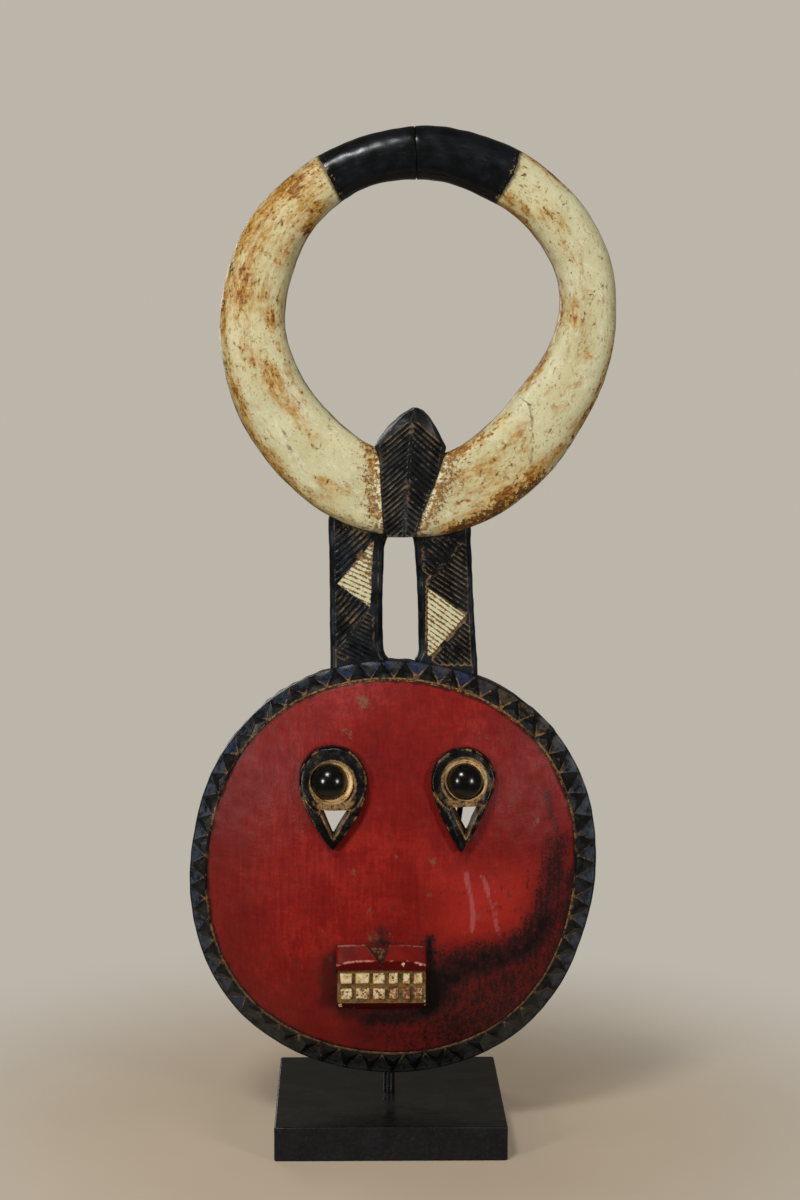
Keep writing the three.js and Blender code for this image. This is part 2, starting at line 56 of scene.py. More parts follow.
# Round face, in millimetres, as in the solids
DISC = (2.4, 237.7)
RIM_OUTLINE = (182.85, -0.3, 0.13, 2.95, 1.75, 0, 0, -1.92, -1.07)
FIELD_OUTLINE = (164.65, 2.9, -2.0, 2.57, 0.99, 0.37, 0, -2.19, -1.11)
BACK_Y, RIM_Y, FIELD_Y, DOME_RISE = -5.4, -22, -35, 35
FIELD_ROWS, FIELD_RADIUS, HOLLOW_RADIUS = 55, 165, 166
TEETH, TOOTH_FOOT, TOOTH_PEAK, TOOTH_CUTS = 55, 2.6, 0.36, 9
# How far the tips and peaks of the teeth stray, how much their height varies, how hollows are dished
TIP_STRAY, PEAK_STRAY, RISE_RANGE, DISH_POWER = 0.04, 0.05, (0.85, 1.12), 0.7
# Steps out from the field over the bead, over the side of the rim and in along the back: out, depth
BEAD = ((0.45, 0.75), (0.85, 0.2), (1.25, -0.1), (1.75, 0.25), (2.2, 0.95), (TOOTH_FOOT, 1.0))
RIM_SIDE = ((0.25, RIM_Y + 0.7), (0.2, -18), (0.1, -14.5), (0, -11.5))
BACK_EDGE = ((0, -9.4), (-0.6, -7.4), (-1.8, -6.0), *((out, BACK_Y) for out in (-4, -8.5, -13, -16.2)))
# Hollow behind the face: share of the way out, depth
HOLLOW = ((0, -56.5), (0.28, -53.6), (0.55, -45.1), (0.8, -33), (0.91, -24.8), (0.94, -20), (0.965, -14),
          (0.985, -9), (1, -6.2))
HOLLOW_BORDER = 17
HOLLOW_ROWS = (1, 0.992, 0.98, 0.965, 0.95, 0.935, *np.linspace(0.91, 0.03, 31))

# Eyes
EYE_RISE, BALL_RADIUS, BALL_RISE, BALL_SKIRT, SOCKET_FLOOR, GAP = 9.3, 15.6, 13.2, 3.4, 2.5, 0.3
BALL_RINGS, BALL_SIDES, SOCKET_SIDES = 26, 72, 90
CONE_RISE, CONE_SHARES, PAST_SKIN = EYE_RISE + 1.1, (0, *np.linspace(0.15, 1, 7)), 8
EYES = (
    dict(node="eye_left", x=-50.2, z=323.5, half=29.4, up=29.1, down=58.8, lean=0.0, fullness=1.85,
         socket=(-50.2, 320.8, 19.3, 16.6), ball=(-52.9, 321.5),
         hole=((-58.8, 296.5), (-37.8, 296.5), (-49.9, 276.4)),
         mouth=((-62, 299.6), (-35.2, 299.6), (-50, 273.5))),
    dict(node="eye_right", x=61.6, z=324.5, half=28.0, up=26.2, down=62.3, lean=-2.1, fullness=1.55,
         socket=(62.6, 323.4, 19.3, 16.6), ball=(62.9, 321.6),
         hole=((54.8, 298.4), (74.6, 299.1), (64.8, 278.2)),
         mouth=((50.6, 301.6), (78, 302.2), (63.6, 274.5))),
)
OUTLINE_POINTS, BAND_POINTS, BAND_CORNERS = 400, 150, 90
# Steps over the teardrop: inset, rise; then the insets of its flat top
BAND_SIDE = ((0, -5), (0.2, 0), (0.1, EYE_RISE * 0.4), (0.35, EYE_RISE * 0.75), (0.7, EYE_RISE - 1.2),
             (1.3, EYE_RISE - 0.35))
BAND_TOP = (2.1, 3.2, 4.4, 5.6, 6.8, 7.6, 8.6, 10, 12, 15, 18, 22, 26)
# Low collar below the socket: where it starts, its edge and height; then the ditch outside it
COLLAR_START, COLLAR_EDGE, COLLAR_RISE = (6, 16), (6.6, 7.6), 0.7
DITCH_OUT, DITCH_HALF, DITCH_DEPTH, BAND_WAVE, BAND_CROWN = 7.9, 0.7, 0.6, 0.45, 0.35
HOLE_ROUNDING, HOLE_CUTS = (2.4, 2.4, 1.6), (9, 10, 10)
# Depths of the eye hole and how far it has opened to its mouth there
HOLE_DEPTHS = ((-85, 1), (-66, 1), (-62, 0.72), (-58, 0.46), (-54.5, 0.22), (-51, 0), (-44, 0), (-37, 0),
               (-30, 0))

# Mouth
MOUTH = dict(x=-8.2, half=38.8, top=181, ridge=168, lip=158.6, teeth=130.3, bottom=123.5)
MOUTH_Y = dict(ridge=-73, lip=-72, gum=-67.4, low=-69, under=-64)
# Rows of the mouth across it, and how far its ends are drawn in
MOUTH_ROWS, MOUTH_END = (-1, -0.992, -0.97, *np.linspace(-0.94, 0.94, 43), 0.97, 0.992, 1), 2.2
MOUTH_ROUNDING, MOUTH_CUTS = (0, 1.2, 1.6, 0.8, 0.4, 0.4, 0.7, 1.4, 0), (2, 6, 4, 1, 11, 0, 2, 3, 8)
NOTCH = ((-24.2, 183), (-0.9, 183), (-7.5, 164))
NOTCH_Y, NOTCH_FALL, IN_FRONT = -63.5, 6.5 / 17, -85
TEETH_X = ((-43.6, -33.6), (-30.6, -18.6), (-15.6, -5.2), (-1.8, 6.3), (10.2, 16.3), (19.8, 27.1))
TEETH_Z = ((147.1, 156.6), (133.4, 142.7))
TEETH_Y, TEETH_STRAY = -70.4, 0.35
# Inset and depth of a tooth of the mouth, from its root to its front
TEETH_STEPS = ((-0.3, MOUTH_Y["gum"] + 1.5), (-0.1, MOUTH_Y["gum"] - 0.4), (0, TEETH_Y + 1.1),
               (0.35, TEETH_Y + 0.4), (0.9, TEETH_Y), (2.2, TEETH_Y - 0.12))

# Legs and leaf: height, then the place of each edge
LEG_BEVEL, LEG_STEP, LEAF_STEP = 4.6, 2.3, 2.2
LEG_ROUNDING, LEG_CUTS = (2.2, 1.8, 1.3, 1.3, 1.8, 2.2), (5, 1, 14, 1, 5, 10)
LEG_FRONT = ((404, -20.6), (424, -20.8), (533, -27.5), (556, -27.5))
LEG_LEFT = ((404, -52.6, -4.5), (422, -52.6, -2.6), (425, -52.7, -5.4), (430, -52.7, -7), (475, -53, -7.1),
            (520, -53.9, -6.2), (527, -54, -4.4), (532, -54.1, -1.5), (545, -54.2, -1.5), (556, -51, -1.5))
LEG_RIGHT = ((404, 21.5, 76.2), (422, 21, 75.4), (425, 23.4, 75), (430, 24.8, 74.6), (475, 22.8, 71.8),
             (520, 20.6, 69.4), (527, 19.2, 69.2), (532, 16.5, 69), (544, 16.5, 68.6), (556, 16.5, 66))
LEAF = ((531, -6.6, 10.5, 21.5), (536, -7.6, 10.8, 22.6), (549, -10, 11.7, 27), (564, -11.1, 12.4, 33.4),
        (575, -12, 12.9, 38.6), (588, -12.5, 13.7, 43), (600, -12.8, 14.8, 44.6), (607.5, -14.8, 15.5, 46.2),
        (615.5, -9.9, 16.2, 42.1), (625.5, -2.2, 16.8, 37), (634, 7.4, 17.2, 31.6), (638.6, 13.8, 17.6, 27.6),
        (640.8, 17.4, 18.8, 22.6))
LEAF_RIDGE_Y, LEAF_EDGE_Y, LEAF_BORDER = -47.5, -42.6, 3.0
# Leaf: height of its tapered tip, how far that sinks and thins, its bevel, and its rounded shoulder
LEAF_TAPER, LEAF_SINK, LEAF_THIN, LEAF_BEVEL, LEAF_SHOULDER = 14, 2.5, 4, 6, (0.88, 0.6)
LEAF_ROUNDING, LEAF_CUTS = (1.5, 1.5, 0.7, 0.8, 0.7, 1.5, 1.5), (6, 1, 8, 8, 1, 6, 8)

# Horn ring
RING, RING_Y = (26, 716), -21
RING_OUTER = (171.43, -8.96, -3.9, 2.18, 2.95, -2.96, 0, 0.88, -0.29, 0.33, 0.14)
RING_INNER = (115.11, 4.45, -2.59, 0.68, 1.91, -3.52, -1.94, 1.74, -1.08, -0.4, 0.18)
RING_RADIUS, RING_WIDTH, RING_HALF_DEPTH = 145, 50, 20.5
RING_STEPS, RING_SIDES = 320, 52
TIPS = (-0.577, 0.535)
# Seam between the tips: its turn, then how far the skin is drawn in beside it
SEAM_TURN, SEAM_REACH = -0.047, 0.015
SEAM = ((-0.011, 0), (-0.0045, 0.15), (-0.0015, 1.3), (0.0015, 1.3), (0.0045, 0.15), (0.011, 0))

# Hatching of the legs: corners, slope of the lines in degrees, spacing
HATCH_LEFT = (
    (((-48.5, 541), (-17.5, 531.5), (-16.5, 527), (-46.2, 491), (-48.5, 490)), 44, 4.4),
    (((-15.3, 527.2), (-46.6, 489), (-18.4, 468.8)), -24, 3.9),
    (((-48.5, 488), (-46, 488), (-18.5, 470), (-20.5, 466.5), (-48.5, 427.5)), 47, 4.3),
    (((-19, 466), (-16.8, 462), (-16.8, 424), (-45, 424), (-47, 427)), -27, 3.8),
)
HATCH_RIGHT = (
    (((28, 528), (58, 528), (53.5, 518.8), (30.4, 493.6), (28.6, 494)), -39, 4.2),
    (((55.5, 517), (64, 526.5), (65.5, 462.5), (32, 486.5), (31, 490)), -33, 4.1),
    (((31.8, 485), (64.4, 461), (32, 423)), -36, 3.8),
    (((64.8, 456), (67.3, 452), (68.6, 419), (39, 419), (36.6, 421.4)), -38, 3.9),
)
CREAM = (HATCH_LEFT[1][0], HATCH_RIGHT[2][0])
HATCH_START, GROOVE_PROUD, GROOVE_STEP, GROOVE_SWAY, GROOVE_WIDEST = 0.6, 0.3, 3.5, 0.16, 0.62
# How far the ends of a groove stray, and how much its width and depth vary
GROOVE_ENDS, WIDTH_RANGE, DEPTH_RANGE = 0.8, (0.84, 1.12), (0.8, 1.12)
# Share of the usual width and depth: ends of a groove, cream fields, leaf
END_GROOVE, CREAM_GROOVE, LEAF_GROOVE = (0.45, 0.35), (0.52, 0.6), (0.9, 1)
# Thin rubbed lines between the hatched fields
DIVIDES = (((-47, 424.5), (-18, 467.5)), ((30.5, 491.5), (61, 524)), ((34.5, 422), (66, 459)),
           ((-46, 492), (-20, 522)))
# Distance that stands for no line near
NO_LINE = 9.0
LEAF_SLOPE, LEAF_PITCH, LEAF_START, LEAF_REACH = 41, 3.9, 1.6, 0.86
# Hatched height of the leaf, from its foot and below its tip; shortest lines and longest; their walk
LEAF_FIELD, HATCH_SHORTEST, LEAF_SHORTEST, LEAF_LONGEST, LEAF_WALK = (6, 7), 4, 5, 34, 0.5

# Stand
BLOCK_SIDE, BLOCK_HEIGHT, BLOCK_EDGE, BLOCK_CORNER = 200, 30, 1.2, 2.5
POST_RADIUS, POST_TOP, POST_SIDES = 5, 168, 40
ARM_RADIUS, ARM_TURN, ARM_STEPS, ARM_SIDES = 2.6, 0.46, 110, 18
# Rings of the post: inset, height
POST_RINGS = ((0, BLOCK_HEIGHT + GAP), (0, 60), (0, 100), (0, 140), (0, POST_TOP - 1.2),
              (0.35, POST_TOP - 0.4), (1.2, POST_TOP))
# Arms of the fork: share of the hollow they reach to, room left beside it, and a small bend inward
ARM_REACH, ARM_ROOM, ARM_BEND, BEND_FROM = 0.945, 1.2, 2, 200
# Their path: across and up behind the face, then how far short of the end and how deep
ARM_RUN = ((0, 152), (17, 165), (46, 214), (61, 268), (65, 294), (70, 330))
ARM_HOOK = ((-26, -0.5), (-11, -3.5), (-1.5, -12), (0, -20))

# Turn of an edge, in radians, that wears the paint most, and angles, in degrees, that stay sharp
SHARP_TURN = 0.9
MASK_EDGE, BALL_EDGE, ROD_EDGE, BLOCK_EDGE_ANGLE = 34, 60, 40, 50
# Shortest edge in metres, and how far up a face on top looks
SLIVER, FACING_UP = 2e-5, 0.3
# Waves of the hand carving, and the share of them that is left beside the balls
LONG_WAVE, SHORT_WAVE, STILL = 48, 13, 0.08

# Stage in metres: soft boxes with their power in the panel, share of it, size, place and colour
LIGHTS = (
    ("box_left", "side_light", 1.0, (0.45, 0.6), (-1.75, -2.0, 0.85), (1, 0.985, 0.96)),
    ("box_right", "side_light", 0.8, (0.45, 0.6), (1.75, -2.0, 0.8), (1, 0.985, 0.96)),
    ("ceiling", "top_light", 1.0, (0.45, 0.45), (-0.65, -1.5, 2.2), (0.97, 0.99, 1)),
    ("behind", "back_light", 1.0, (1.5, 1.2), (-1.35, 2.2, 1.1), (1, 0.98, 0.95)),
)
LIGHTS_AIM = (0.0, -0.05, 0.42)
FLOOR_REACH = 4
# The photographer's camera: place, degrees to the right, down and rolled, height of film and lens
CAMERA_PLACE = (-0.0378, -2.0311, 0.6928)
CAMERA_YAW, CAMERA_PITCH, CAMERA_ROLL = 1.296, 6.195, 0.208
CAMERA_FILM, CAMERA_LENS = 36, 69.95

# Marks on the face: soot with painted shadow of the mouth beside and below it, then scratches: a row of
# points, its half width and its strength
SOOT_AND_MOUTH_SHADOW = (
    (((145, 262), (141, 234), (135, 214), (131, 196)), 16, 0.72),
    (((134, 196), (126, 182), (112, 170), (96, 164), (80, 161)), 20, 0.95),
    (((80, 161), (63, 158), (50, 154), (44, 142), (39, 128)), 22, 0.97),
    (((39, 128), (30, 116), (8, 112), (-18, 111)), 11, 0.8),
    # soot beside the right of the mouth, together with painted shadow of the mouth
    (((34, 186), (35, 165), (36, 150)), 4.5, 0.9),
    (((38, 152), (41, 138), (38, 125), (30, 117)), 9, 1.15), (((47, 150), (56, 146)), 9, 1.1),
    (((78, 165), (86, 167)), 7, 1.0), (((-18, 111), (-42, 117)), 9, 0.55),
    (((154, 222), (152, 190), (140, 158), (118, 132), (86, 112), (56, 100)), 38, 0.6),
    (((160, 232), (158, 205), (153, 182), (144, 160)), 17, 0.72),
    (((112, 150), (80, 135), (56, 128)), 28, 0.64),
    (((135, 309), (139, 291), (144, 276), (149, 258)), 5, 0.5),
    # the first stroke of the next row is painted shadow of the mouth on its left, with some soot
    (((-53, 166), (-56, 150), (-54, 128)), 10, 0.5), (((-22, 96), (20, 84), (70, 90)), 16, 0.28),
    (((-7.5, 192), (-7.5, 187)), 9, 0.55),
)
SCRATCHES = (
    (((64, 243), (67.9, 226.3), (70.7, 208.4), (70, 192)), 2.8, 1.1),
    (((62.5, 240), (64.5, 233)), 2.4, 0.9),
    (((78.3, 240), (83.6, 227.3), (87.3, 213.7), (92, 189)), 2.4, 1.1),
    (((80, 236), (86, 224)), 3.4, 0.9), (((87.9, 236), (90.7, 222.4), (92.9, 186)), 1.8, 0.95),
    (((110, 215), (111, 200)), 1.3, 0.4), (((-44, 221), (-36, 219.5), (-28, 217.5)), 1.2, 0.5),
    (((-165, 268), (-164, 250)), 3, 0.4),
)
# Worn spots of the red paint that show brown, and chips of the lips: place, radius, strength
SPOTS = (
    (1.4, 257.5, 3, 0.7), (34.9, 255.4, 4, 0.6), (-17.3, 210.1, 4, 0.6), (-21.7, 216.3, 3, 0.45),
    (33.3, 224.9, 2.5, 0.8), (126.5, 284.1, 3, 0.9), (-25.2, 389.9, 5, 0.9), (-41, 365, 3, 0.6),
    (-35.6, 360.9, 3.5, 0.6), (76.6, 357.5, 5, 0.4), (-12.5, 186, 7, 0.6), (-4, 187, 6, 0.55),
    (-31.1, 198.2, 3, 0.4), (-78.4, 275.5, 5, 0.4), (-60, 192, 3, 0.4), (-105, 300, 6, 0.35),
    (-52, 167, 2.5, 0.8), (20, 300, 7, 0.3), (-3, 330, 8, 0.3), (75, 205, 3, 0.6), (-20, 392, 3, 0.7),
    (-150, 235, 5, 0.4), (12, 212, 9, 0.35), (-30, 246, 7, 0.35),
)
SPOT_SPREAD = 1.5
LIP_CHIPS = (
    (10.5, 165.3, 2.2, 1), (25.8, 165, 1.8, 1), (-43.9, 127, 2.2, 1), (-31.8, 125, 1.2, 0.8),
    (29.6, 135, 1.6, 0.9), (29.4, 127.5, 1.6, 1), (29.4, 131, 1.4, 0.8), (-46, 163.5, 1.5, 0.5),
)
# Stains of the horns: turn, place across from inner to outer edge, their half widths, strength
STAINS = (
    (-0.78, 0.55, 0.22, 0.5, 0.62), (-1.25, 0.86, 0.5, 0.13, 0.6), (-1.1, 0.62, 0.26, 0.4, 0.5),
    (-1.42, 0.6, 0.28, 0.36, 0.55), (-1.75, 0.6, 0.25, 0.3, 0.42), (-1.5, 0.1, 0.6, 0.12, 0.45),
    (-1.15, 0.22, 0.34, 0.14, 0.5), (0.85, 0.35, 0.25, 0.4, 0.32), (1.5, 0.4, 0.4, 0.4, 0.24),
    (2.05, 0.5, 0.4, 0.3, 0.26), (2.6, 0.5, 0.35, 0.4, 0.42), (-0.64, 0.75, 0.07, 0.3, 0.7),
    (-0.8, 0.8, 0.12, 0.25, 0.95), (-0.95, 0.85, 0.14, 0.22, 0.8), (-1.1, 0.9, 0.14, 0.15, 0.75),
    (-1.23, 0.92, 0.1, 0.12, 0.6), (-0.77, 0.2, 0.1, 0.18, 0.8), (-0.9, 0.1, 0.08, 0.16, 0.85),
    (-0.92, 0.5, 0.16, 0.2, 0.5), (-1.4, 0.7, 0.2, 0.12, 0.85), (-1.58, 0.2, 0.1, 0.14, 0.8),
    (-1.75, 0.14, 0.1, 0.1, 0.5), (-1.93, 0.38, 0.14, 0.12, 0.75), (-1.55, 0.55, 0.3, 0.1, 0.45),
    (-1.5, 0.93, 0.35, 0.06, 0.8), (-1.95, 0.9, 0.3, 0.07, 0.7), (-2.35, 0.95, 0.45, 0.09, 0.7),
    (0.7, 0.98, 0.14, 0.06, 0.85), (0.75, 0.02, 0.2, 0.06, 0.8), (1.5, 0.03, 0.25, 0.06, 0.7),
    (1.95, 0.02, 0.3, 0.05, 0.7), (-2.18, 0.36, 0.3, 0.12, 0.5), (-2.6, 0.65, 0.05, 0.08, 0.6),
    (-2.67, 0.71, 0.07, 0.1, 0.5), (0.62, 0.2, 0.06, 0.2, 0.6), (0.72, 0.2, 0.1, 0.14, 0.6),
    (0.84, 0.34, 0.08, 0.14, 0.55), (0.98, 0.45, 0.07, 0.1, 0.5), (1.1, 0.3, 0.1, 0.12, 0.35),
    (1.55, 0.2, 0.12, 0.14, 0.6), (1.5, 0.75, 0.12, 0.1, 0.35), (1.79, 0.6, 0.06, 0.14, 0.45),
    (2.0, 0.4, 0.1, 0.14, 0.35), (1.95, 0.96, 0.4, 0.06, 0.7), (2.3, 0.9, 0.3, 0.08, 0.55),
    (2.58, 0.86, 0.16, 0.14, 0.9), (2.72, 0.85, 0.12, 0.16, 1.0), (2.86, 0.9, 0.12, 0.12, 1.0),
    (2.97, 0.93, 0.08, 0.1, 0.9), (2.5, 0.08, 0.1, 0.1, 0.7), (2.68, 0.05, 0.1, 0.1, 0.8),
    (2.85, 0.02, 0.12, 0.12, 0.85), (2.75, 0.4, 0.22, 0.2, 0.55), (2.5, 0.45, 0.15, 0.2, 0.45),
    (-2.83, 0.12, 0.06, 0.2, 0.8), (-2.76, 0.02, 0.08, 0.08, 0.6), (-2.95, 0.8, 0.12, 0.1, 0.5),
)
STAIN_SPREAD = 1.25
GRIME = (
    (-0.64, 0.93, 0.06, 0.07, 0.8), (-0.76, 0.12, 0.03, 0.06, 0.9), (-0.8, 0.2, 0.03, 0.06, 0.7),
    (-0.93, 0.06, 0.05, 0.05, 0.9), (-1.2, 0.97, 0.06, 0.05, 0.9), (-1.31, 0.95, 0.05, 0.05, 0.8),
    (-1.5, 0.96, 0.08, 0.04, 0.8), (-1.8, 0.96, 0.12, 0.04, 0.6), (0.605, 0.64, 0.018, 0.05, 1.4),
    (0.7, 0.99, 0.14, 0.05, 0.9), (0.67, 0.42, 0.035, 0.05, 0.9), (1.2, 0.85, 0.05, 0.05, 0.6),
    (1.41, 0.53, 0.045, 0.05, 0.9), (1.46, 0.17, 0.05, 0.05, 0.6), (1.55, 0.42, 0.05, 0.04, 0.9),
    (1.7, 0.97, 0.3, 0.05, 0.5), (2.6, 0.94, 0.2, 0.09, 0.9), (2.8, 0.94, 0.15, 0.11, 1.0),
    (2.95, 0.96, 0.1, 0.12, 1.0), (-2.61, 0.65, 0.015, 0.04, 0.9), (2.2, 0.97, 0.3, 0.04, 0.6),
    (-0.72, 0.97, 0.1, 0.04, 0.7),
)
# Fine cracks of the horns, turn and place across, on what lies in front of one depth
CRACKS_FRONT = -25
CRACKS = (
    ((-2.19, 0.535), (-2.268, 0.602), (-2.37, 0.687)),
    ((2.251, 0), (2.236, 0.207), (2.31, 0.37), (2.496, 0.717)),
    ((1.469, 0.504), (1.52, 0.44), (1.585, 0.41)), ((-1.9, 0.45), (-2.0, 0.43)),
    ((0.64, 0.5), (0.7, 0.45)),
)


# Shapes


def outline(waves, turn):
    """Radius of a smooth closed outline at an angle clockwise from the top."""
    radius = np.full(np.shape(turn), float(waves[0]))
    for k in range(1, (len(waves) + 1) // 2):
        radius += waves[2 * k - 1] * np.cos(k * turn) + waves[2 * k] * np.sin(k * turn)
    return radius


def turns(count):
    """Even angles round a full turn."""
    return np.arange(count) / count * TURN


def polar(centre, x, z):
    """Distance from a centre, and angle clockwise from the top."""
    dx, dz = x - centre[0], z - centre[1]
    return np.hypot(dx, dz), np.arctan2(dx, dz)


def circle(centre, radius, turn, y):
    """Points at a distance and an angle from a centre, at a depth."""
    places = centre[0] + radius * np.sin(turn), y, centre[1] + radius * np.cos(turn)
    return np.stack(np.broadcast_arrays(*places), -1)


def along(rows, at):
    """The other columns of a table where its first column has some value."""
    table = np.array(rows, float)
    return [np.interp(at, table[:, 0], column) for column in table[:, 1:].T]


def smooth(value, low, high):
    """Soft step from 0 to 1."""
    share = np.clip((np.asarray(value, float) - low) / (high - low), 0, 1)
    return share * share * (3 - 2 * share)


def dome_y(x, z):
    """Depth of the bare domed field."""
    far, turn = polar(DISC, x, z)
    return FIELD_Y - DOME_RISE * (1 - (far / outline(FIELD_OUTLINE, turn)) ** 2)


def leg_y(x, z):
    """Depth of the front of the legs."""
    return along(LEG_FRONT, z)[0]


def leaf_y(x, z):
    """Depth of the leaf's two sloping faces."""
    left, ridge, right = along(LEAF, z)
    share = np.minimum(1, np.abs((x - ridge) / (np.where(x < ridge, left, right) - ridge)))
    return LEAF_RIDGE_Y + (LEAF_EDGE_Y - LEAF_RIDGE_Y) * share


def mouth_top(share):
    """Height of the upper edge of the mouth, by the share of its half width."""
    return MOUTH["top"] - 2 * share ** 2


def mouth_ridge(share):
    """Height of the ridge of the upper lip."""
    return MOUTH["ridge"] - 4.2 * share ** 4


def wander(points, length, seed):
    """A smooth uneven value of about -1 to 1 at every point, waves of one length."""
    random = np.random.default_rng(seed)
    total = np.zeros(len(points))
    for _ in range(10):
        way = random.normal(size=3)
        way *= TURN / length * random.uniform(0.6, 1.5) / np.linalg.norm(way)
        total += np.sin(points @ way + random.uniform(0, TURN))
    return total / 3


def to_lines(x, z, lines):
    """Distance to the nearest of some lines, each a row of points."""
    nearest = np.full(np.shape(x), 1e3)
    for line in lines:
        for (ax, az), (bx, bz) in zip(line, line[1:]):
            dx, dz = bx - ax, bz - az
            share = np.clip(((x - ax) * dx + (z - az) * dz) / (dx * dx + dz * dz), 0, 1)
            nearest = np.minimum(nearest, np.hypot(x - ax - share * dx, z - az - share * dz))
    return nearest


def into_shape(x, z, corners):
    """Distance into a closed shape; negative outside it."""
    inside = np.zeros(np.shape(x), bool)
    loop = [*corners, corners[0]]
    for (ax, az), (bx, bz) in zip(loop, loop[1:]):
        if az != bz:
            inside ^= ((az > z) != (bz > z)) & (x < (bx - ax) * (z - az) / (bz - az) + ax)
    return to_lines(x, z, [loop]) * np.where(inside, 1, -1)


def rounded(corners, radius, cuts, steps=3):
    """A closed line with rounded turns; radius and cuts hold one number for each corner and side."""
    corners = np.array(corners, float)
    t = np.linspace(0, 1, steps + 1)[:, None]
    bends = []
    for before, corner, after, reach in zip(np.roll(corners, 1, 0), corners, np.roll(corners, -1, 0), radius):
        start, stop = (corner + (end - corner) * min(0.45, reach / np.linalg.norm(end - corner))
                       for end in (before, after))
        bend = start * (1 - t) ** 2 + corner * 2 * t * (1 - t) + stop * t * t
        bends.append(bend if reach else corner[None])
    points = []
    for bend, following, count in zip(bends, bends[1:] + bends[:1], cuts):
        share = np.arange(1, count + 1)[:, None] / (count + 1)
        points += [bend, bend[-1] + (following[0] - bend[-1]) * share]
    return np.concatenate(points)


def even(loop, count):
    """The same closed loop with evenly spaced points."""
    ring = np.vstack([loop, loop[:1]])
    run = np.append(0, np.cumsum(np.linalg.norm(np.diff(ring, axis=0), axis=1)))
    at = np.arange(count) / count * run[-1]
    return np.stack([np.interp(at, run, column) for column in ring.T], 1)


class Skin:
    """Points and triangles of one closed skin, with the zone of every triangle."""

    def __init__(self):
        self.points, self.faces, self.zones = [], [], []
        self.count = 0

    def add(self, points):
        points = np.asarray(points, float).reshape(-1, 3)
        self.points.append(points)
        self.count += len(points)
        return np.arange(self.count - len(points), self.count)

    def face(self, faces, zone):
        faces = np.asarray(faces, int).reshape(-1, 3)
        self.faces.append(faces)
        self.zones.append(np.full(len(faces), ZONES.index(zone)))

    def band(self, a, b, zone):
        """Triangles between two closed rows with the same number of points."""
        c, d = np.roll(a, -1), np.roll(b, -1)
        self.face(np.concatenate([np.stack([a, c, d], 1), np.stack([a, d, b], 1)]), zone)

    def grow(self, row, loops, zone):
        """Bands from a row through some more loops, the last of which becomes the new row."""
        for loop in loops:
            last, row = row, self.add(loop)
            self.band(last, row, zone)
        return row

    def stitch(self, a, b, zone):
        """Triangles between two closed rows with any number of points."""
        i = j = 0
        while i < len(a) or j < len(b):
            if i < len(a) and (j >= len(b) or (i + 1) / len(a) <= (j + 1) / len(b)):
                self.face([a[i % len(a)], a[(i + 1) % len(a)], b[j % len(b)]], zone)
                i += 1
            else:
                self.face([a[i % len(a)], b[(j + 1) % len(b)], b[j % len(b)]], zone)
                j += 1

    def fan(self, row, middle, zone, flip=False):
        """Triangles between a closed row and one point."""
        centre = np.full(len(row), self.add(middle)[0])
        rows = [centre, np.roll(row, -1), row] if flip else [centre, row, np.roll(row, -1)]
        self.face(np.stack(rows, 1), zone)

    def loft(self, loops, zone, capped=True, middle=None):
        """A closed body through some loops: with an end at either side, or joined into a ring."""
        rows = [self.add(loop) for loop in loops]
        for a, b in zip(rows, rows[1:] if capped else rows[1:] + rows[:1]):
            self.band(a, b, zone)
        if capped:
            self.fan(rows[0], np.mean(loops[0], 0), zone, True)
            self.fan(rows[-1], np.mean(loops[-1], 0) if middle is None else middle, zone)

    def build(self, name):
        """A bare object of this skin, turned the right way out, with one material slot a zone."""
        points, faces = np.concatenate(self.points), np.concatenate(self.faces)
        a, b, c = (points[faces[:, k]] for k in range(3))
        if np.einsum("ij,ij->i", a, np.cross(b, c)).sum() < 0:
            faces = faces[:, ::-1]
        mesh = bpy.data.meshes.new(name)
        mesh.vertices.add(len(points))
        mesh.vertices.foreach_set("co", (points * MM).ravel())
        mesh.loops.add(faces.size)
        mesh.loops.foreach_set("vertex_index", faces.ravel())
        mesh.polygons.add(len(faces))
        mesh.polygons.foreach_set("loop_start", np.arange(0, faces.size, 3))
        for zone in ZONES:
            slot = "painted_" + zone
            mesh.materials.append(bpy.data.materials.get(slot) or bpy.data.materials.new(slot))
        mesh.polygons.foreach_set("material_index", np.concatenate(self.zones))
        mesh.update(calc_edges=True)
        mesh.validate()
        made = bpy.data.objects.new(name, mesh)
        bpy.context.scene.collection.objects.link(made)
        return made


def lofted(name, loops, zone, capped=True, middle=None):
    """A bare object made of one row of loops."""
    skin = Skin()
    skin.loft(loops, zone, capped, middle)
    return skin.build(name)


def carve(body, tool, operation="DIFFERENCE"):
    """Joins a skin to the body or cuts it away, and keeps the zones of both."""
    modifier = body.modifiers.new("Carving", "BOOLEAN")
    modifier.object, modifier.operation = tool, operation
    modifier.solver, modifier.material_mode = "MANIFOLD", "TRANSFER"
    bpy.context.view_layer.update()
    mesh = bpy.data.meshes.new_from_object(body.evaluated_get(bpy.context.evaluated_depsgraph_get()))
    if not len(mesh.polygons):
        raise RuntimeError(f"{tool.name} could not be carved with {body.name}")
    body.modifiers.clear()
    old, body.data = body.data, mesh
    bpy.data.meshes.remove(old)
    bpy.data.meshes.remove(tool.data)
    return body


def put_on_dome(points, x, z):
    """Moves points from their own axes, out along +Y of the tool, onto the dome at one place."""
    out = Vector((dome_y(x + 1, z) - dome_y(x - 1, z), -2, dome_y(x, z + 1) - dome_y(x, z - 1))).normalized()
    turn = Vector((0, 1, 0)).rotation_difference(out).to_matrix()
    return np.asarray(points) @ np.array(turn).T + (x, dome_y(x, z), z)


def lathe(profile, steps):
    """Loops of a turned shape round +Y from (radius, height) pairs."""
    return [circle((0, 0), radius, turns(steps), height) for radius, height in profile]


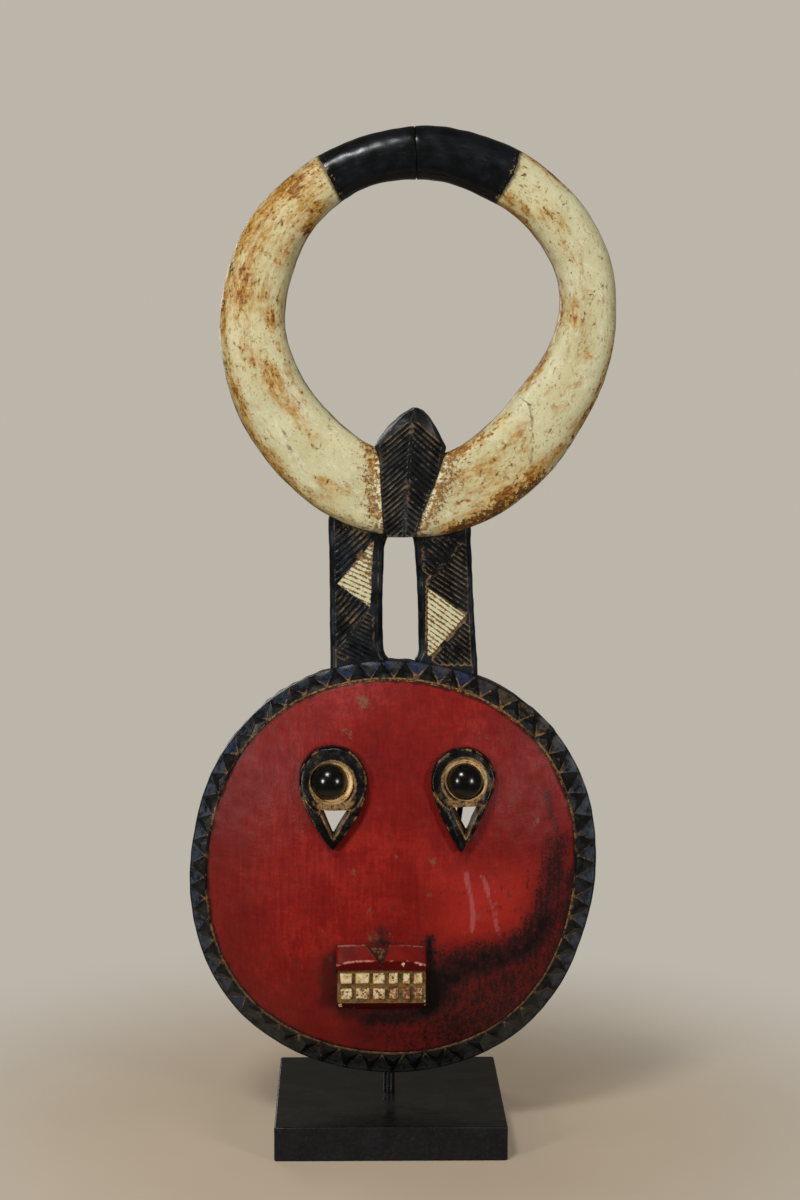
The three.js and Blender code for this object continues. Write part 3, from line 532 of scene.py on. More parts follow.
def make_disc(shape):
    """The domed face with its bead and teeth, the edge of the board and the hollow behind."""
    skin = Skin()
    steps = TEETH * TOOTH_CUTS

    def ring(waves, border, share, y, count):
        """A row of points at a share of the way out to an outline, less a border."""
        turn = turns(count)
        return skin.add(circle(DISC, (outline(waves, turn) - border) * share, turn, y))

    def points_of(radius, spacing):
        return int(max(12, min(steps, round(TURN * radius * MM / spacing))))

    rows = []
    for share in np.arange(1, FIELD_ROWS + 1) / FIELD_ROWS:
        count = steps if share == 1 else points_of(FIELD_RADIUS * share, shape.field_mesh)
        rows.append(ring(FIELD_OUTLINE, 0, share, FIELD_Y - DOME_RISE * (1 - share * share), count))
    skin.fan(rows[0], (DISC[0], FIELD_Y - DOME_RISE, DISC[1]), "field", True)
    for a, b in zip(rows, rows[1:]):
        skin.stitch(a, b, "field")
    turn = turns(steps)
    bead = [circle(DISC, outline(FIELD_OUTLINE, turn) + out, turn, FIELD_Y + drop) for out, drop in BEAD]
    last = add_teeth(skin, shape, skin.grow(rows[-1], bead, "bead"))

    # over the side to the back and into the hollow
    points = np.concatenate(skin.points)[last]
    turn = polar(DISC, points[:, 0], points[:, 2])[1]
    for zone, table in (("side", RIM_SIDE), ("back", BACK_EDGE)):
        loops = [circle(DISC, outline(RIM_OUTLINE, turn) + out, turn, y) for out, y in table]
        last = skin.grow(last, loops, zone)
    last = np.roll(last, -int(np.argmin(np.abs(turn))))
    for share in HOLLOW_ROWS:
        count = points_of(HOLLOW_RADIUS * share, shape.back_mesh)
        row = ring(RIM_OUTLINE, HOLLOW_BORDER, share, along(HOLLOW, share)[0], count)
        skin.stitch(last, row, "back")
        last = row
    skin.fan(last, (DISC[0], HOLLOW[0][1], DISC[1]), "back")
    return skin.build("disc")


def add_teeth(skin, shape, foot):
    """Raised teeth and dished hollows from the row at their feet to the outer edge, which it gives back."""
    random = np.random.default_rng(7)
    random.random(TEETH)  # passed over: the feet stay evenly spaced
    tip_at = np.arange(TEETH) + 0.5 + random.uniform(-TIP_STRAY, TIP_STRAY, TEETH)
    peak_at = random.uniform(-PEAK_STRAY, PEAK_STRAY, TEETH)
    peak_v = TOOTH_PEAK + random.uniform(-PEAK_STRAY, PEAK_STRAY, TEETH)
    rise = shape.tooth_rise / MM * random.uniform(*RISE_RANGE, TEETH)

    def side_keys(kind):
        """Keys of the points along all the feet or all the tips, in order."""
        for k in range(TEETH):
            for j in range(TOOTH_CUTS):
                ends = [((kind, k), TOOTH_CUTS - j), ((kind, (k + 1) % TEETH), j)]
                yield tuple(sorted(ends if j else ends[:1]))

    known = dict(zip(side_keys("foot"), foot))

    def patch(corners, zone, dish=0.0):
        """A finely cut triangle; points on its sides are shared by their keys."""
        keys, places = zip(*corners)
        n = TOOTH_CUTS
        grid = {}
        for i in range(n + 1):
            for j in range(n + 1 - i):
                parts = (n - i - j, i, j)
                key = tuple(sorted((keys[k], part) for k, part in enumerate(parts) if part))
                if all(parts):
                    key = (zone, keys, i, j)
                if key not in known:
                    weight = np.array(parts) / n
                    at, v, lift = weight @ np.array(places)
                    turn = at / TEETH * TURN
                    low, high = outline(FIELD_OUTLINE, turn) + TOOTH_FOOT, outline(RIM_OUTLINE, turn)
                    y = (FIELD_Y + 1) * (1 - v) + RIM_Y * v - lift + dish * (3 * weight.min()) ** DISH_POWER
                    known[key] = skin.add(circle(DISC, low + (high - low) * v, turn, y))[0]
                grid[i, j] = known[key]
        for i in range(n):
            for j in range(n - i):
                skin.face([grid[i, j], grid[i + 1, j], grid[i, j + 1]], zone)
                if i + j < n - 1:
                    skin.face([grid[i + 1, j], grid[i + 1, j + 1], grid[i, j + 1]], zone)

    for k in range(TEETH):
        after = (k + 1) % TEETH
        a, c = (("foot", k), (k, 0, 0)), (("foot", after), (k + 1, 0, 0))
        b = (("tip", k), (tip_at[k], 1, 0))
        d = (("tip", after), (tip_at[after] + (0 if after else TEETH), 1, 0))
        p = (("peak", k), (k + 0.5 + peak_at[k], peak_v[k], rise[k]))
        for corners in ((a, c, p), (c, b, p), (b, a, p)):
            patch(corners, "tooth")
        patch((c, d, b), "recess", shape.recess_depth / MM)
    return np.array([known[key] for key in side_keys("tip")])


def make_ring():
    """The two horns as one ring with soft square sides and a fine seam between their tips."""
    turn_at = turns(RING_STEPS) - math.pi
    turn_at = np.append(turn_at[np.abs(turn_at - SEAM_TURN) > SEAM_REACH], [SEAM_TURN + at for at, _ in SEAM])
    side = turns(RING_SIDES)
    loops = []
    for turn in np.sort(turn_at):
        pull = along(SEAM, turn - SEAM_TURN)[0]
        high, low = outline(RING_OUTER, turn), outline(RING_INNER, turn)
        # squarer at the foot of the horns
        power = 2 / (2.5 + 1.7 * smooth(-math.cos(turn), 0.7, 0.93))
        out, deep = (np.sign(v) * np.abs(v) ** power for v in (np.cos(side), np.sin(side)))
        radius = (high + low) / 2 + ((high - low) / 2 - pull) * out
        loops.append(circle(RING, radius, turn, RING_Y + (RING_HALF_DEPTH - pull) * deep))
    return lofted("ring", loops, "horn", capped=False)


def make_leg(rows):
    """One leg with a flat front, bevelled edges and a flat back."""
    loops = []
    for z in np.arange(rows[0][0], rows[-1][0] + 0.1, LEG_STEP):
        left, right = along(rows, z)
        front, bevel = leg_y(0, z), LEG_BEVEL
        corners = [(left, BACK_Y), (left, front + bevel), (left + bevel, front), (right - bevel, front),
                   (right, front + bevel), (right, BACK_Y)]
        loop = rounded(corners, LEG_ROUNDING, LEG_CUTS)
        loops.append(np.insert(loop, 2, z, 1))
    return lofted("leg", loops, "leg")


def make_leaf():
    """The pointed leaf with a ridge down its middle."""
    tip = LEAF[-1][0]
    out, lift = LEAF_SHOULDER
    loops = []
    for z in np.append(np.arange(LEAF[0][0], tip - 1, LEAF_STEP), tip):
        left, ridge, right = along(LEAF, z)
        fade = smooth(z, tip - LEAF_TAPER, tip)
        edge, back = LEAF_EDGE_Y + LEAF_SINK * fade, BACK_Y - LEAF_THIN * fade
        corners = [(left, back), (left, edge + LEAF_BEVEL), (ridge + (left - ridge) * out, edge - lift),
                   (ridge, LEAF_RIDGE_Y + LEAF_SINK * fade), (ridge + (right - ridge) * out, edge - lift),
                   (right, edge + LEAF_BEVEL), (right, back)]
        loop = rounded(corners, LEAF_ROUNDING, LEAF_CUTS)
        loops.append(np.insert(loop, 2, z, 1))
    return lofted("leaf", loops, "leaf")


def groove(skin, start, stop, surface, width, depth, random):
    """One hand-cut V groove between two points of a surface, its width and path a little uneven."""
    length = np.linalg.norm(stop - start)
    way = (stop - start) / length
    side = np.array([-way[1], way[0]])
    steps = max(3, int(round(length / GROOVE_STEP)))
    loops = []
    for i in range(steps + 1):
        end = i in (0, steps)
        run = length * i / steps + (GROOVE_ENDS * random.uniform(-1, 1) if end else 0)
        middle = start + way * run + side * random.normal(0, GROOVE_SWAY)
        thin = END_GROOVE[0] if end else random.uniform(*WIDTH_RANGE)
        deep = depth * (END_GROOVE[1] if end else random.uniform(*DEPTH_RANGE))
        reach = side * min(width / 2 * thin * (deep + GROOVE_PROUD) / deep, width * GROOVE_WIDEST)
        section = ((middle + reach, -GROOVE_PROUD), (middle - reach, -GROOVE_PROUD), (middle, deep))
        loops.append([(x, surface(x, z) + lift, z) for (x, z), lift in section])
    skin.loft(loops, "leaf" if surface is leaf_y else "leg")


def hatch_lines(corners, slope, pitch):
    """Parallel lines across a field with convex corners."""
    way = np.array([math.cos(math.radians(slope)), math.sin(math.radians(slope))])
    corners = np.array(corners, float)
    heights = corners[:, 1] * way[0] - corners[:, 0] * way[1]
    lines = []
    for height in np.arange(heights.min() + pitch * HATCH_START, heights.max(), pitch):
        above = heights - height
        cuts = []
        for a, b, here, there in zip(corners, np.roll(corners, -1, 0), above, np.roll(above, -1)):
            if here * there < 0:
                cuts.append(a + (b - a) * here / (here - there))
        if len(cuts) == 2 and np.linalg.norm(cuts[0] - cuts[1]) > HATCH_SHORTEST:
            lines.append(cuts)
    return lines


def leaf_lines(column):
    """Lines that fall away from the ridge of the leaf on one side."""
    fall = math.tan(math.radians(LEAF_SLOPE))
    low, high = LEAF[0][0], LEAF[-1][0]
    sign = 1 if column else -1
    lines = []
    pitch = LEAF_PITCH / math.cos(math.radians(LEAF_SLOPE))
    for z in np.arange(low + LEAF_FIELD[0], high - LEAF_FIELD[1], pitch):
        ridge = along(LEAF, z)[1]
        reach = LEAF_START
        while reach < LEAF_LONGEST:
            x, height = ridge + sign * reach, z - fall * reach
            sides = along(LEAF, height)
            if height < low + 2 or abs(x - sides[1]) > LEAF_REACH * abs(sides[column] - sides[1]):
                break
            reach += LEAF_WALK
        if reach > LEAF_SHORTEST:
            lines.append([np.array((ridge + sign * out, z - fall * out)) for out in (LEAF_START, reach)])
    return lines


def cut_lines(body, lines, surface, width, depth, seed):
    """Cuts a groove along every line."""
    random = np.random.default_rng(seed)
    skin = Skin()
    for start, stop in lines:
        groove(skin, start, stop, surface, width, depth, random)
    return carve(body, skin.build("grooves"))


def eye_outline(eye):
    """The teardrop round an eye: a round top and two sides that meet in a point."""
    across, up = np.sin(turns(OUTLINE_POINTS)), np.cos(turns(OUTLINE_POINTS))
    drop = np.where(up < 0, 1 - np.abs(across) ** 1.4, 0)
    lower = np.sign(across) * eye["half"] * (1 - drop ** eye["fullness"])
    width = np.where(up < 0, lower, eye["half"] * across)
    height = np.where(up < 0, -eye["down"] * drop, eye["up"] * np.maximum(up, 0))
    return np.stack([eye["x"] + width + eye["lean"] * drop, eye["z"] + height], 1)


def make_band(eye, seed):
    """The raised teardrop: a sloping side, a flat top and a low ring round the socket."""
    border = even(eye_outline(eye), BAND_POINTS)
    middle = np.array([eye["x"], eye["z"] - 8])
    away = border - middle
    far = np.linalg.norm(away, axis=1)
    wobble = wander(np.insert(border, 2, 0, 1), 17, seed)
    sx, sz, radius, _ = eye["socket"]
    loops = []
    for inset, rise in BAND_SIDE + tuple((inset, EYE_RISE) for inset in BAND_TOP):
        share = np.maximum(0.0, 1 - (inset + BAND_WAVE * wobble * (rise > 0)) / far)
        x, z = (middle + away * share[:, None]).T
        height = np.full(len(x), float(rise))
        if rise > EYE_RISE - 1:
            out = np.hypot(x - sx, z - sz) - radius
            below = smooth(sz - z, *COLLAR_START)
            height += COLLAR_RISE * (1 - smooth(out, *COLLAR_EDGE)) * below
            height -= DITCH_DEPTH * np.exp(-((out - DITCH_OUT) / DITCH_HALF) ** 2) * below
            height -= BAND_CROWN * smooth(np.abs(inset - 5) / 5, 0.3, 1.4)
        loops.append(np.stack([x, dome_y(x, z) - height, z], 1))
    return lofted("band", loops, "band", middle=(middle[0], dome_y(*middle) - EYE_RISE, middle[1]))


def cut_eye(body, eye):
    """The cone of the socket, the seat of the ball and the hole below it."""
    x, z, radius, floor = eye["socket"]
    rise = CONE_RISE - SOCKET_FLOOR
    cone = [(floor + (radius - floor) * t, SOCKET_FLOOR + rise * t) for t in CONE_SHARES]
    cone.append((radius + 2, CONE_RISE + PAST_SKIN))
    seat = [(BALL_RADIUS + GAP, height) for height in (SOCKET_FLOOR - BALL_SKIRT, CONE_RISE + PAST_SKIN)]
    for profile, place in ((cone, (x, z)), (seat, eye["ball"])):
        loops = [put_on_dome(loop, *place) for loop in lathe(profile, SOCKET_SIDES)]
        carve(body, lofted("socket", loops, "socket"))
    loops = []
    for y, share in HOLE_DEPTHS:
        corners = np.array(eye["hole"]) * (1 - share) + np.array(eye["mouth"]) * share
        loops.append(np.insert(rounded(corners, HOLE_ROUNDING, HOLE_CUTS), 1, y, 1))
    carve(body, lofted("shaft", loops, "shaft"))


def make_mouth():
    """A block with a sloping upper lip, two rows of teeth set in a sunk gum and a narrow lower lip."""
    loops = []
    for share in MOUTH_ROWS:
        x = MOUTH["x"] + MOUTH["half"] * share
        end = MOUTH_END * smooth(abs(share), 0.965, 1.0)
        top, bottom = mouth_top(share) - end * 0.6, MOUTH["bottom"] + end * 0.5
        gum = MOUTH_Y["gum"] + end * 0.4
        corners = [(dome_y(x, top) + 5, top), (dome_y(x, top) - 1.4, top),
                   (MOUTH_Y["ridge"] + end, mouth_ridge(share) - end * 0.5),
                   (MOUTH_Y["lip"] + end, MOUTH["lip"]), (gum, MOUTH["lip"] - 0.3),
                   (gum, MOUTH["teeth"] + 0.3), (MOUTH_Y["low"] + end, MOUTH["teeth"]),
                   (MOUTH_Y["under"] + end, bottom), (dome_y(x, bottom) + 5, bottom)]
        loop = rounded(corners, MOUTH_ROUNDING, MOUTH_CUTS)
        loops.append(np.insert(loop, 0, x, 1))
    body = lofted("mouth", loops, "lip")
    x, z = np.array(NOTCH).T
    floor = NOTCH_Y - NOTCH_FALL * (MOUTH["top"] - z)
    loops = [np.stack([x, IN_FRONT * (1 - t) + floor * t, z], 1) for t in np.linspace(0, 1, 9)]
    carve(body, lofted("notch", loops, "lip"))
    random = np.random.default_rng(31)
    inward = np.array([(1, 1), (-1, 1), (-1, -1), (1, -1)])
    teeth = Skin()
    for left, right in TEETH_X:
        for low, high in TEETH_Z:
            corners = np.array([(left, low), (right, low), (right, high), (left, high)])
            corners = corners + random.uniform(-TEETH_STRAY, TEETH_STRAY, (4, 2))
            loops = [np.insert(rounded(corners + inset * inward, (1,) * 4, (4,) * 4), 1, y, 1)
                     for inset, y in TEETH_STEPS]
            teeth.loft(loops, "enamel")
    return carve(body, teeth.build("teeth"), "UNION")


def merge_mask(shape):
    """All the carved forms as one skin."""
    body = make_disc(shape)
    width, depth = shape.groove_width / MM, shape.groove_depth / MM
    for rows, fields, seed in ((LEG_LEFT, HATCH_LEFT, 11), (LEG_RIGHT, HATCH_RIGHT, 21)):
        leg = make_leg(rows)
        for i, field in enumerate(fields):
            thin, shallow = CREAM_GROOVE if field[0] in CREAM else (1, 1)
            cut_lines(leg, hatch_lines(*field), leg_y, width * thin, depth * shallow, seed + i)
        carve(body, leg, "UNION")
    carve(body, make_ring(), "UNION")
    leaf = make_leaf()
    for column in (0, 2):
        thin, shallow = LEAF_GROOVE
        cut_lines(leaf, leaf_lines(column), leaf_y, width * thin, depth * shallow, 41 + column)
    carve(body, leaf, "UNION")
    carve(body, make_mouth(), "UNION")
    for i, eye in enumerate(EYES):
        carve(body, make_band(eye, 50 + i), "UNION")
    for eye in EYES:
        cut_eye(body, eye)
    return body


def tidy_mesh(mesh):
    """Triangles only, with no slivers of no size."""
    work = bmesh.new()
    work.from_mesh(mesh)
    bmesh.ops.dissolve_degenerate(work, dist=SLIVER, edges=work.edges[:])
    bmesh.ops.triangulate(work, faces=work.faces[:])
    work.to_mesh(mesh)
    work.free()
    mesh.update()


def read_mesh(mesh):
    """Points in millimetres, triangles and the zone of each."""
    points = np.empty(len(mesh.vertices) * 3)
    mesh.vertices.foreach_get("co", points)
    faces = np.empty(len(mesh.loops), int)
    mesh.loops.foreach_get("vertex_index", faces)
    zones = np.empty(len(mesh.polygons), int)
    mesh.polygons.foreach_get("material_index", zones)
    return points.reshape(-1, 3) / MM, faces.reshape(-1, 3), zones


def edge_turns(points, faces):
    """How sharply the skin turns outward, and inward, at every point, in radians."""
    a, b, c = (points[faces[:, k]] for k in range(3))
    normal = np.cross(b - a, c - a)
    normal /= np.maximum(np.linalg.norm(normal, axis=1, keepdims=True), 1e-9)
    centre = (a + b + c) / 3
    pairs = np.concatenate([faces[:, [0, 1]], faces[:, [1, 2]], faces[:, [2, 0]]])
    owner = np.tile(np.arange(len(faces)), 3)
    order = np.lexsort((pairs.max(1), pairs.min(1)))
    first = order[0::2]
    f, g = owner[first], owner[order[1::2]]
    turn = np.arccos(np.clip(np.einsum("ij,ij->i", normal[f], normal[g]), -1, 1))
    outward = np.einsum("ij,ij->i", normal[f], centre[g] - centre[f]) < 0
    out, inn = np.zeros(len(points)), np.zeros(len(points))
    for ends in pairs[first].T:
        np.maximum.at(out, ends, np.where(outward, turn, 0))
        np.maximum.at(inn, ends, np.where(outward, 0, turn))
    return out, inn


# What the paint depends on, zone by zone, in millimetres at every corner of the skin


def marks(x, z, strokes):
    """Soft strokes laid over each other: the strongest counts."""
    most = np.zeros(len(x))
    for line, width, strength in strokes:
        most = np.maximum(most, strength * np.exp(-(to_lines(x, z, [line]) / width) ** 2))
    return most


def blots(u, v, spots, spread=1.0):
    """Soft round or long spots, (u, v, half widths, strength): the strongest counts."""
    most = np.zeros(len(u))
    for at_u, at_v, *wide, strength in spots:
        far = ((u - at_u) / wide[0]) ** 2 + ((v - at_v) / wide[-1]) ** 2
        most = np.maximum(most, strength * np.exp(-far / spread ** 2))
    return most


def into_leaf(x, z):
    """Distance into the shape of the leaf."""
    return into_shape(x, z, [(row[1], row[0]) for row in LEAF] + [(row[3], row[0]) for row in LEAF[::-1]])


def into_band(x, z):
    """Distance into the teardrop of the nearer eye."""
    nearest = np.full(len(x), -1e3)
    for eye in EYES:
        inside = into_shape(x, z, even(eye_outline(eye), BAND_CORNERS))
        nearest = np.where(np.abs(x - eye["x"]) < 55, inside, nearest)
    return nearest


def face_measures(x, y, z):
    """For the field, the bead and the lips."""
    far, turn = polar(DISC, x, z)
    left, right = MOUTH["x"] - MOUTH["half"], MOUTH["x"] + MOUTH["half"]
    mouth = [(left, MOUTH["top"]), (right, MOUTH["top"]), (right, MOUTH["bottom"]), (left, MOUTH["bottom"])]
    return dict(edge=outline(FIELD_OUTLINE, turn) - far, around=turn, smudge=marks(x, z, SOOT_AND_MOUTH_SHADOW),
                scratch=marks(x, z, SCRATCHES), spot=blots(x, z, SPOTS, SPOT_SPREAD), eye=-into_band(x, z),
                mouth=-into_shape(x, z, mouth), notch=into_shape(x, z, NOTCH))


def lip_measures(x, y, z):
    """For the lips alone: their folds, chips and gum."""
    across = (x - MOUTH["x"]) / MOUTH["half"]
    fold = np.minimum(np.abs(z - mouth_top(across)), np.abs(z - mouth_ridge(across)))
    gum = np.minimum(z - MOUTH["teeth"] + 0.5, MOUTH["lip"] + 0.6 - z)
    gum = np.minimum(gum, MOUTH["half"] - 0.6 - np.abs(x - MOUTH["x"]))
    return dict(fold=fold, below=mouth_ridge(across) - z, chip=blots(x, z, LIP_CHIPS),
                gum=np.where(y < MOUTH_Y["under"], gum, -5))


def rim_measures(x, y, z):
    """For the teeth and hollows of the rim."""
    far, turn = polar(DISC, x, z)
    low, high = outline(FIELD_OUTLINE, turn) + TOOTH_FOOT, outline(RIM_OUTLINE, turn)
    rise = np.clip((far - low) / (high - low), 0, 1)
    phase = np.abs((turn / TURN * TEETH) % 1 - 0.5)
    return dict(rise=rise, around=turn, zigzag=(0.5 * (1 - rise) - phase) * far * TURN / TEETH)


def horn_measures(x, y, z):
    """For the two horns, along and across their ring."""
    far, turn = polar(RING, x, z)
    low, high = outline(RING_INNER, turn), outline(RING_OUTER, turn)
    across, length = (far - low) / (high - low), turn * RING_RADIUS
    bend = np.where(turn < 0, -0.03 * (1 - across), 0.02 * (1 - across) + 0.015 * np.sin(across * 4))
    cracks = [[(t * RING_RADIUS, a * RING_WIDTH) for t, a in line] for line in CRACKS]
    crack = to_lines(length, across * RING_WIDTH, cracks) + NO_LINE * (y > CRACKS_FRONT)
    return dict(tip=np.minimum(turn - TIPS[0] - bend, TIPS[1] + bend - turn) * RING_RADIUS, crack=crack,
                stain=blots(turn, across, STAINS, STAIN_SPREAD), grime=blots(turn, across, GRIME),
                joint=-into_leaf(x, z), across=across, along=length, front=smooth(-y, 22, 34))


def leg_measures(x, y, z):
    """For the two legs."""
    grooves = [line for field in HATCH_LEFT + HATCH_RIGHT for line in hatch_lines(*field)]
    sides = [np.minimum(x - left, right - x) for left, right in (along(LEG_LEFT, z), along(LEG_RIGHT, z))]
    return dict(cut=np.clip(y - leg_y(x, z), 0, 4), groove=to_lines(x, z, grooves),
                divide=to_lines(x, z, DIVIDES), cream=np.maximum(*[into_shape(x, z, c) for c in CREAM]),
                panel=np.where(x < 10, *sides) - LEG_BEVEL, joint=-into_leaf(x, z))


def leaf_measures(x, y, z):
    """For the leaf."""
    left, ridge, right = along(LEAF, z)
    border = np.where(x < ridge, x - left, right - x)
    return dict(cut=np.clip(y - leaf_y(x, z), 0, 4), groove=to_lines(x, z, leaf_lines(0) + leaf_lines(2)),
                divide=np.full(len(x), NO_LINE), panel=border - LEAF_BORDER, ridge=np.abs(x - ridge))


def eye_measures(x, y, z):
    """For the teardrops, sockets and holes of the eyes."""
    socket, ball, hole = [], [], []
    for eye in EYES:
        sx, sz, radius, _ = eye["socket"]
        socket.append(np.hypot(x - sx, z - sz) - radius)
        ball.append(np.hypot(x - eye["ball"][0], z - eye["ball"][1]) - BALL_RADIUS)
        hole.append(-into_shape(x, z, eye["mouth"]))
    edge = into_band(x, z) - np.clip(y - dome_y(x, z) + EYE_RISE - 2.5, 0, 9)
    return dict(edge=edge, socket=np.minimum(*socket), ball=np.minimum(*ball), hole=np.minimum(*hole))


MEASURES = (
    (("field", "bead", "lip"), face_measures), (("lip",), lip_measures),
    (("tooth", "recess", "side"), rim_measures), (("horn",), horn_measures), (("leg",), leg_measures),
    (("leaf",), leaf_measures), (("band", "socket", "shaft"), eye_measures),
)


def hand_carve(mesh, amount):
    """Moves the skin a little, as a knife leaves it: long waves and short ones, by zone."""
    points, faces, zones = read_mesh(mesh)
    normals = np.empty(len(mesh.vertices) * 3)
    mesh.vertex_normals.foreach_get("vector", normals)
    table = np.array([ZONE_TABLE[zone][1:] for zone in ZONES])
    weight, count = np.zeros((len(points), 2)), np.zeros(len(points))
    for k in range(3):
        np.add.at(weight, faces[:, k], table[zones])
        np.add.at(count, faces[:, k], 1)
    weight /= np.maximum(count, 1)[:, None]
    for eye in EYES:
        near = np.hypot(points[:, 0] - eye["ball"][0], points[:, 2] - eye["ball"][1])
        weight *= smooth(near, BALL_RADIUS + 1, BALL_RADIUS + 7)[:, None] * (1 - STILL) + STILL
    lift = weight[:, 0] * wander(points, LONG_WAVE, 3) + weight[:, 1] * wander(points, SHORT_WAVE, 4)
    moved = (points + normals.reshape(-1, 3) * (lift * amount / MM)[:, None]) * MM
    mesh.vertices.foreach_set("co", moved.ravel())
    mesh.update()


def paint_ready(mesh, amount):
    """Stores what the paint depends on, then makes the skin uneven and names the final materials."""
    points, faces, zones = read_mesh(mesh)
    corners, zone_at = points[faces.ravel()], np.repeat(zones, 3)
    stored = {}
    for names, measure in MEASURES:
        mask = np.isin(zone_at, [ZONES.index(name) for name in names])
        for name, values in measure(*corners[mask].T).items():
            stored.setdefault(name, np.zeros(len(corners)))[mask] = values
    for name, values in stored.items():
        mesh.attributes.new(name, "FLOAT", "CORNER").data.foreach_set("value", values.astype(np.float32))
    for name, turn in zip(("rub", "pit"), edge_turns(points, faces)):
        values = np.clip(turn / SHARP_TURN, 0, 1).astype(np.float32)
        mesh.attributes.new(name, "FLOAT", "POINT").data.foreach_set("value", values)
    hand_carve(mesh, amount)
    finishes = list(dict.fromkeys(ZONE_TABLE[zone][0] for zone in ZONES))
    index = np.array([finishes.index(ZONE_TABLE[zone][0]) for zone in ZONES])
    shade_skin(mesh, [finish() for finish in finishes], index[zones], MASK_EDGE)


def shade_skin(mesh, materials, index, angle):
    """Gives every triangle its material and keeps the edges that turn more than an angle sharp."""
    mesh.materials.clear()
    for material in materials:
        mesh.materials.append(material)
    mesh.polygons.foreach_set("material_index", index)
    mesh.shade_smooth()
    mesh.set_sharp_from_angle(angle=math.radians(angle))
    mesh.update()


# Finishes


class Wire:
    """A socket that takes part in sums; each sum adds its Math node."""

    def __init__(self, finish, socket):
        self.finish, self.socket = finish, socket

    def sum(self, operation, *values, clamp=False):
        return self.finish.node("Math", dict(enumerate(values)), operation=operation, use_clamp=clamp)

    def __add__(self, other):
        return self.sum("ADD", self, other)

    def __sub__(self, other):
        return self.sum("SUBTRACT", self, other)

    def __rsub__(self, other):
        return self.sum("SUBTRACT", other, self)

    def __mul__(self, other):
        return self.sum("MULTIPLY", self, other)

    def __truediv__(self, other):
        return self.sum("DIVIDE", self, other)

    __radd__, __rmul__ = __add__, __mul__

    def most(self, other):
        return self.sum("MAXIMUM", self, other)

    def size(self):
        return self.sum("ABSOLUTE", self)

    def clip(self):
        return self.sum("ADD", self, 0.0, clamp=True)

    def step(self, low, high):
        """Soft step from 0 at low to 1 at high; low may be the larger of the two."""
        sockets = {"Value": self, "From Min": low, "From Max": high}
        return self.finish.node("MapRange", sockets, interpolation_type="SMOOTHSTEP")

    def between(self, low, high, reach=0.5):
        """Colour between two colours, one where this is well below 0 and one where it is well above."""
        return self.finish.mix(self.step(-reach, reach), low, high)


class Finish:
    """A material under construction and the colour it has so far."""

    def __init__(self, name):
        self.material = bpy.data.materials.new(name)
        self.material.use_nodes = True
        self.tree = self.material.node_tree
        self.tree.nodes.clear()
        self.known = {}
        self.colour = None

    def node(self, kind, sockets, output=0, **settings):
        """Adds one node: its settings, then the values or links of its sockets."""
        made = self.tree.nodes.new("ShaderNode" + kind)
        for key, value in settings.items():
            setattr(made, key, value)
        for key, value in sockets.items():
            if isinstance(value, Wire):
                self.tree.links.new(value.socket, made.inputs[key])
            else:
                made.inputs[key].default_value = value
        return Wire(self, made.outputs[output])

    def measure(self, name):
        """One of the numbers stored on the skin."""
        if name not in self.known:
            self.known[name] = self.node("Attribute", {}, "Fac", attribute_name=name)
        return self.known[name]

    def place(self, stretch=(1, 1, 1)):
        """Where the surface is, in metres, stretched along some axes."""
        if (1, 1, 1) not in self.known:
            self.known[1, 1, 1] = self.node("TexCoord", {}, "Object")
        if stretch not in self.known:
            sockets = {0: self.known[1, 1, 1], 1: stretch}
            self.known[stretch] = self.node("VectorMath", sockets, operation="MULTIPLY")
        return self.known[stretch]

    def axis(self, which):
        """Place along x, y or z, in metres."""
        if which not in self.known:
            self.known[which] = self.node("SeparateXYZ", {0: self.place()}, which)
        return self.known[which]

    def join(self, x, y, z):
        return self.node("CombineXYZ", {0: x, 1: y, 2: z})

    def grain(self, size, detail=3.0, rough=0.55, where=None, shift=0.0):
        """Uneven value mostly between -1 and 1, with spots of one size in millimetres."""
        sockets = {"Vector": where or self.place(), "Scale": 1000 / size, "Detail": detail,
                   "Roughness": rough}
        settings = {}
        if shift:
            sockets["W"], settings["noise_dimensions"] = shift, "4D"
        return (self.node("TexNoise", sockets, **settings) - 0.5) * NOISE_GAIN

    def mix(self, share, low, high):
        """Colour between two others; three screen values stand for a colour too."""
        ends = [srgb(*end) if isinstance(end, tuple) and len(end) == 3 else end for end in (low, high)]
        return self.node("Mix", {0: share, 6: ends[0], 7: ends[1]}, 2, data_type="RGBA")

    def over(self, share, colour):
        """Lays a colour over the one so far."""
        self.colour = self.mix(share, self.colour, colour)

    def close(self, sockets):
        """Ends the material with a shader of these sockets."""
        shader = self.node("BsdfPrincipled", sockets)
        out = self.tree.nodes.new("ShaderNodeOutputMaterial")
        self.tree.links.new(shader.socket, out.inputs["Surface"])
        return self.material

    def done(self, rough, height, deep, strength=1.0, specular=0.5, metal=0.0):
        """Ends the material; a height of about 0 to 1 is some millimetres deep."""
        normal = self.node("Bump", {"Height": height, "Distance": deep * MM, "Strength": strength})
        return self.close({"Base Color": self.colour, "Roughness": rough, "Normal": normal,
                           "Metallic": metal, "Specular IOR Level": specular})


def srgb(*screen):
    """A screen colour as the shader needs it."""
    parts = [v / 255 for v in screen]
    return (*[v / 12.92 if v <= 0.04 else ((v + 0.055) / 1.055) ** 2.4 for v in parts], 1.0)


BROWN, NEAR_BLACK = (96, 62, 38), (12, 11, 12)
NOISE_GAIN = 7.0


def panel_colour(name, dim=1.0):
    """A colour of the panel as the shader needs it."""
    return (*[v * dim for v in getattr(bpy.context.scene.mask_paint, name)], 1.0)


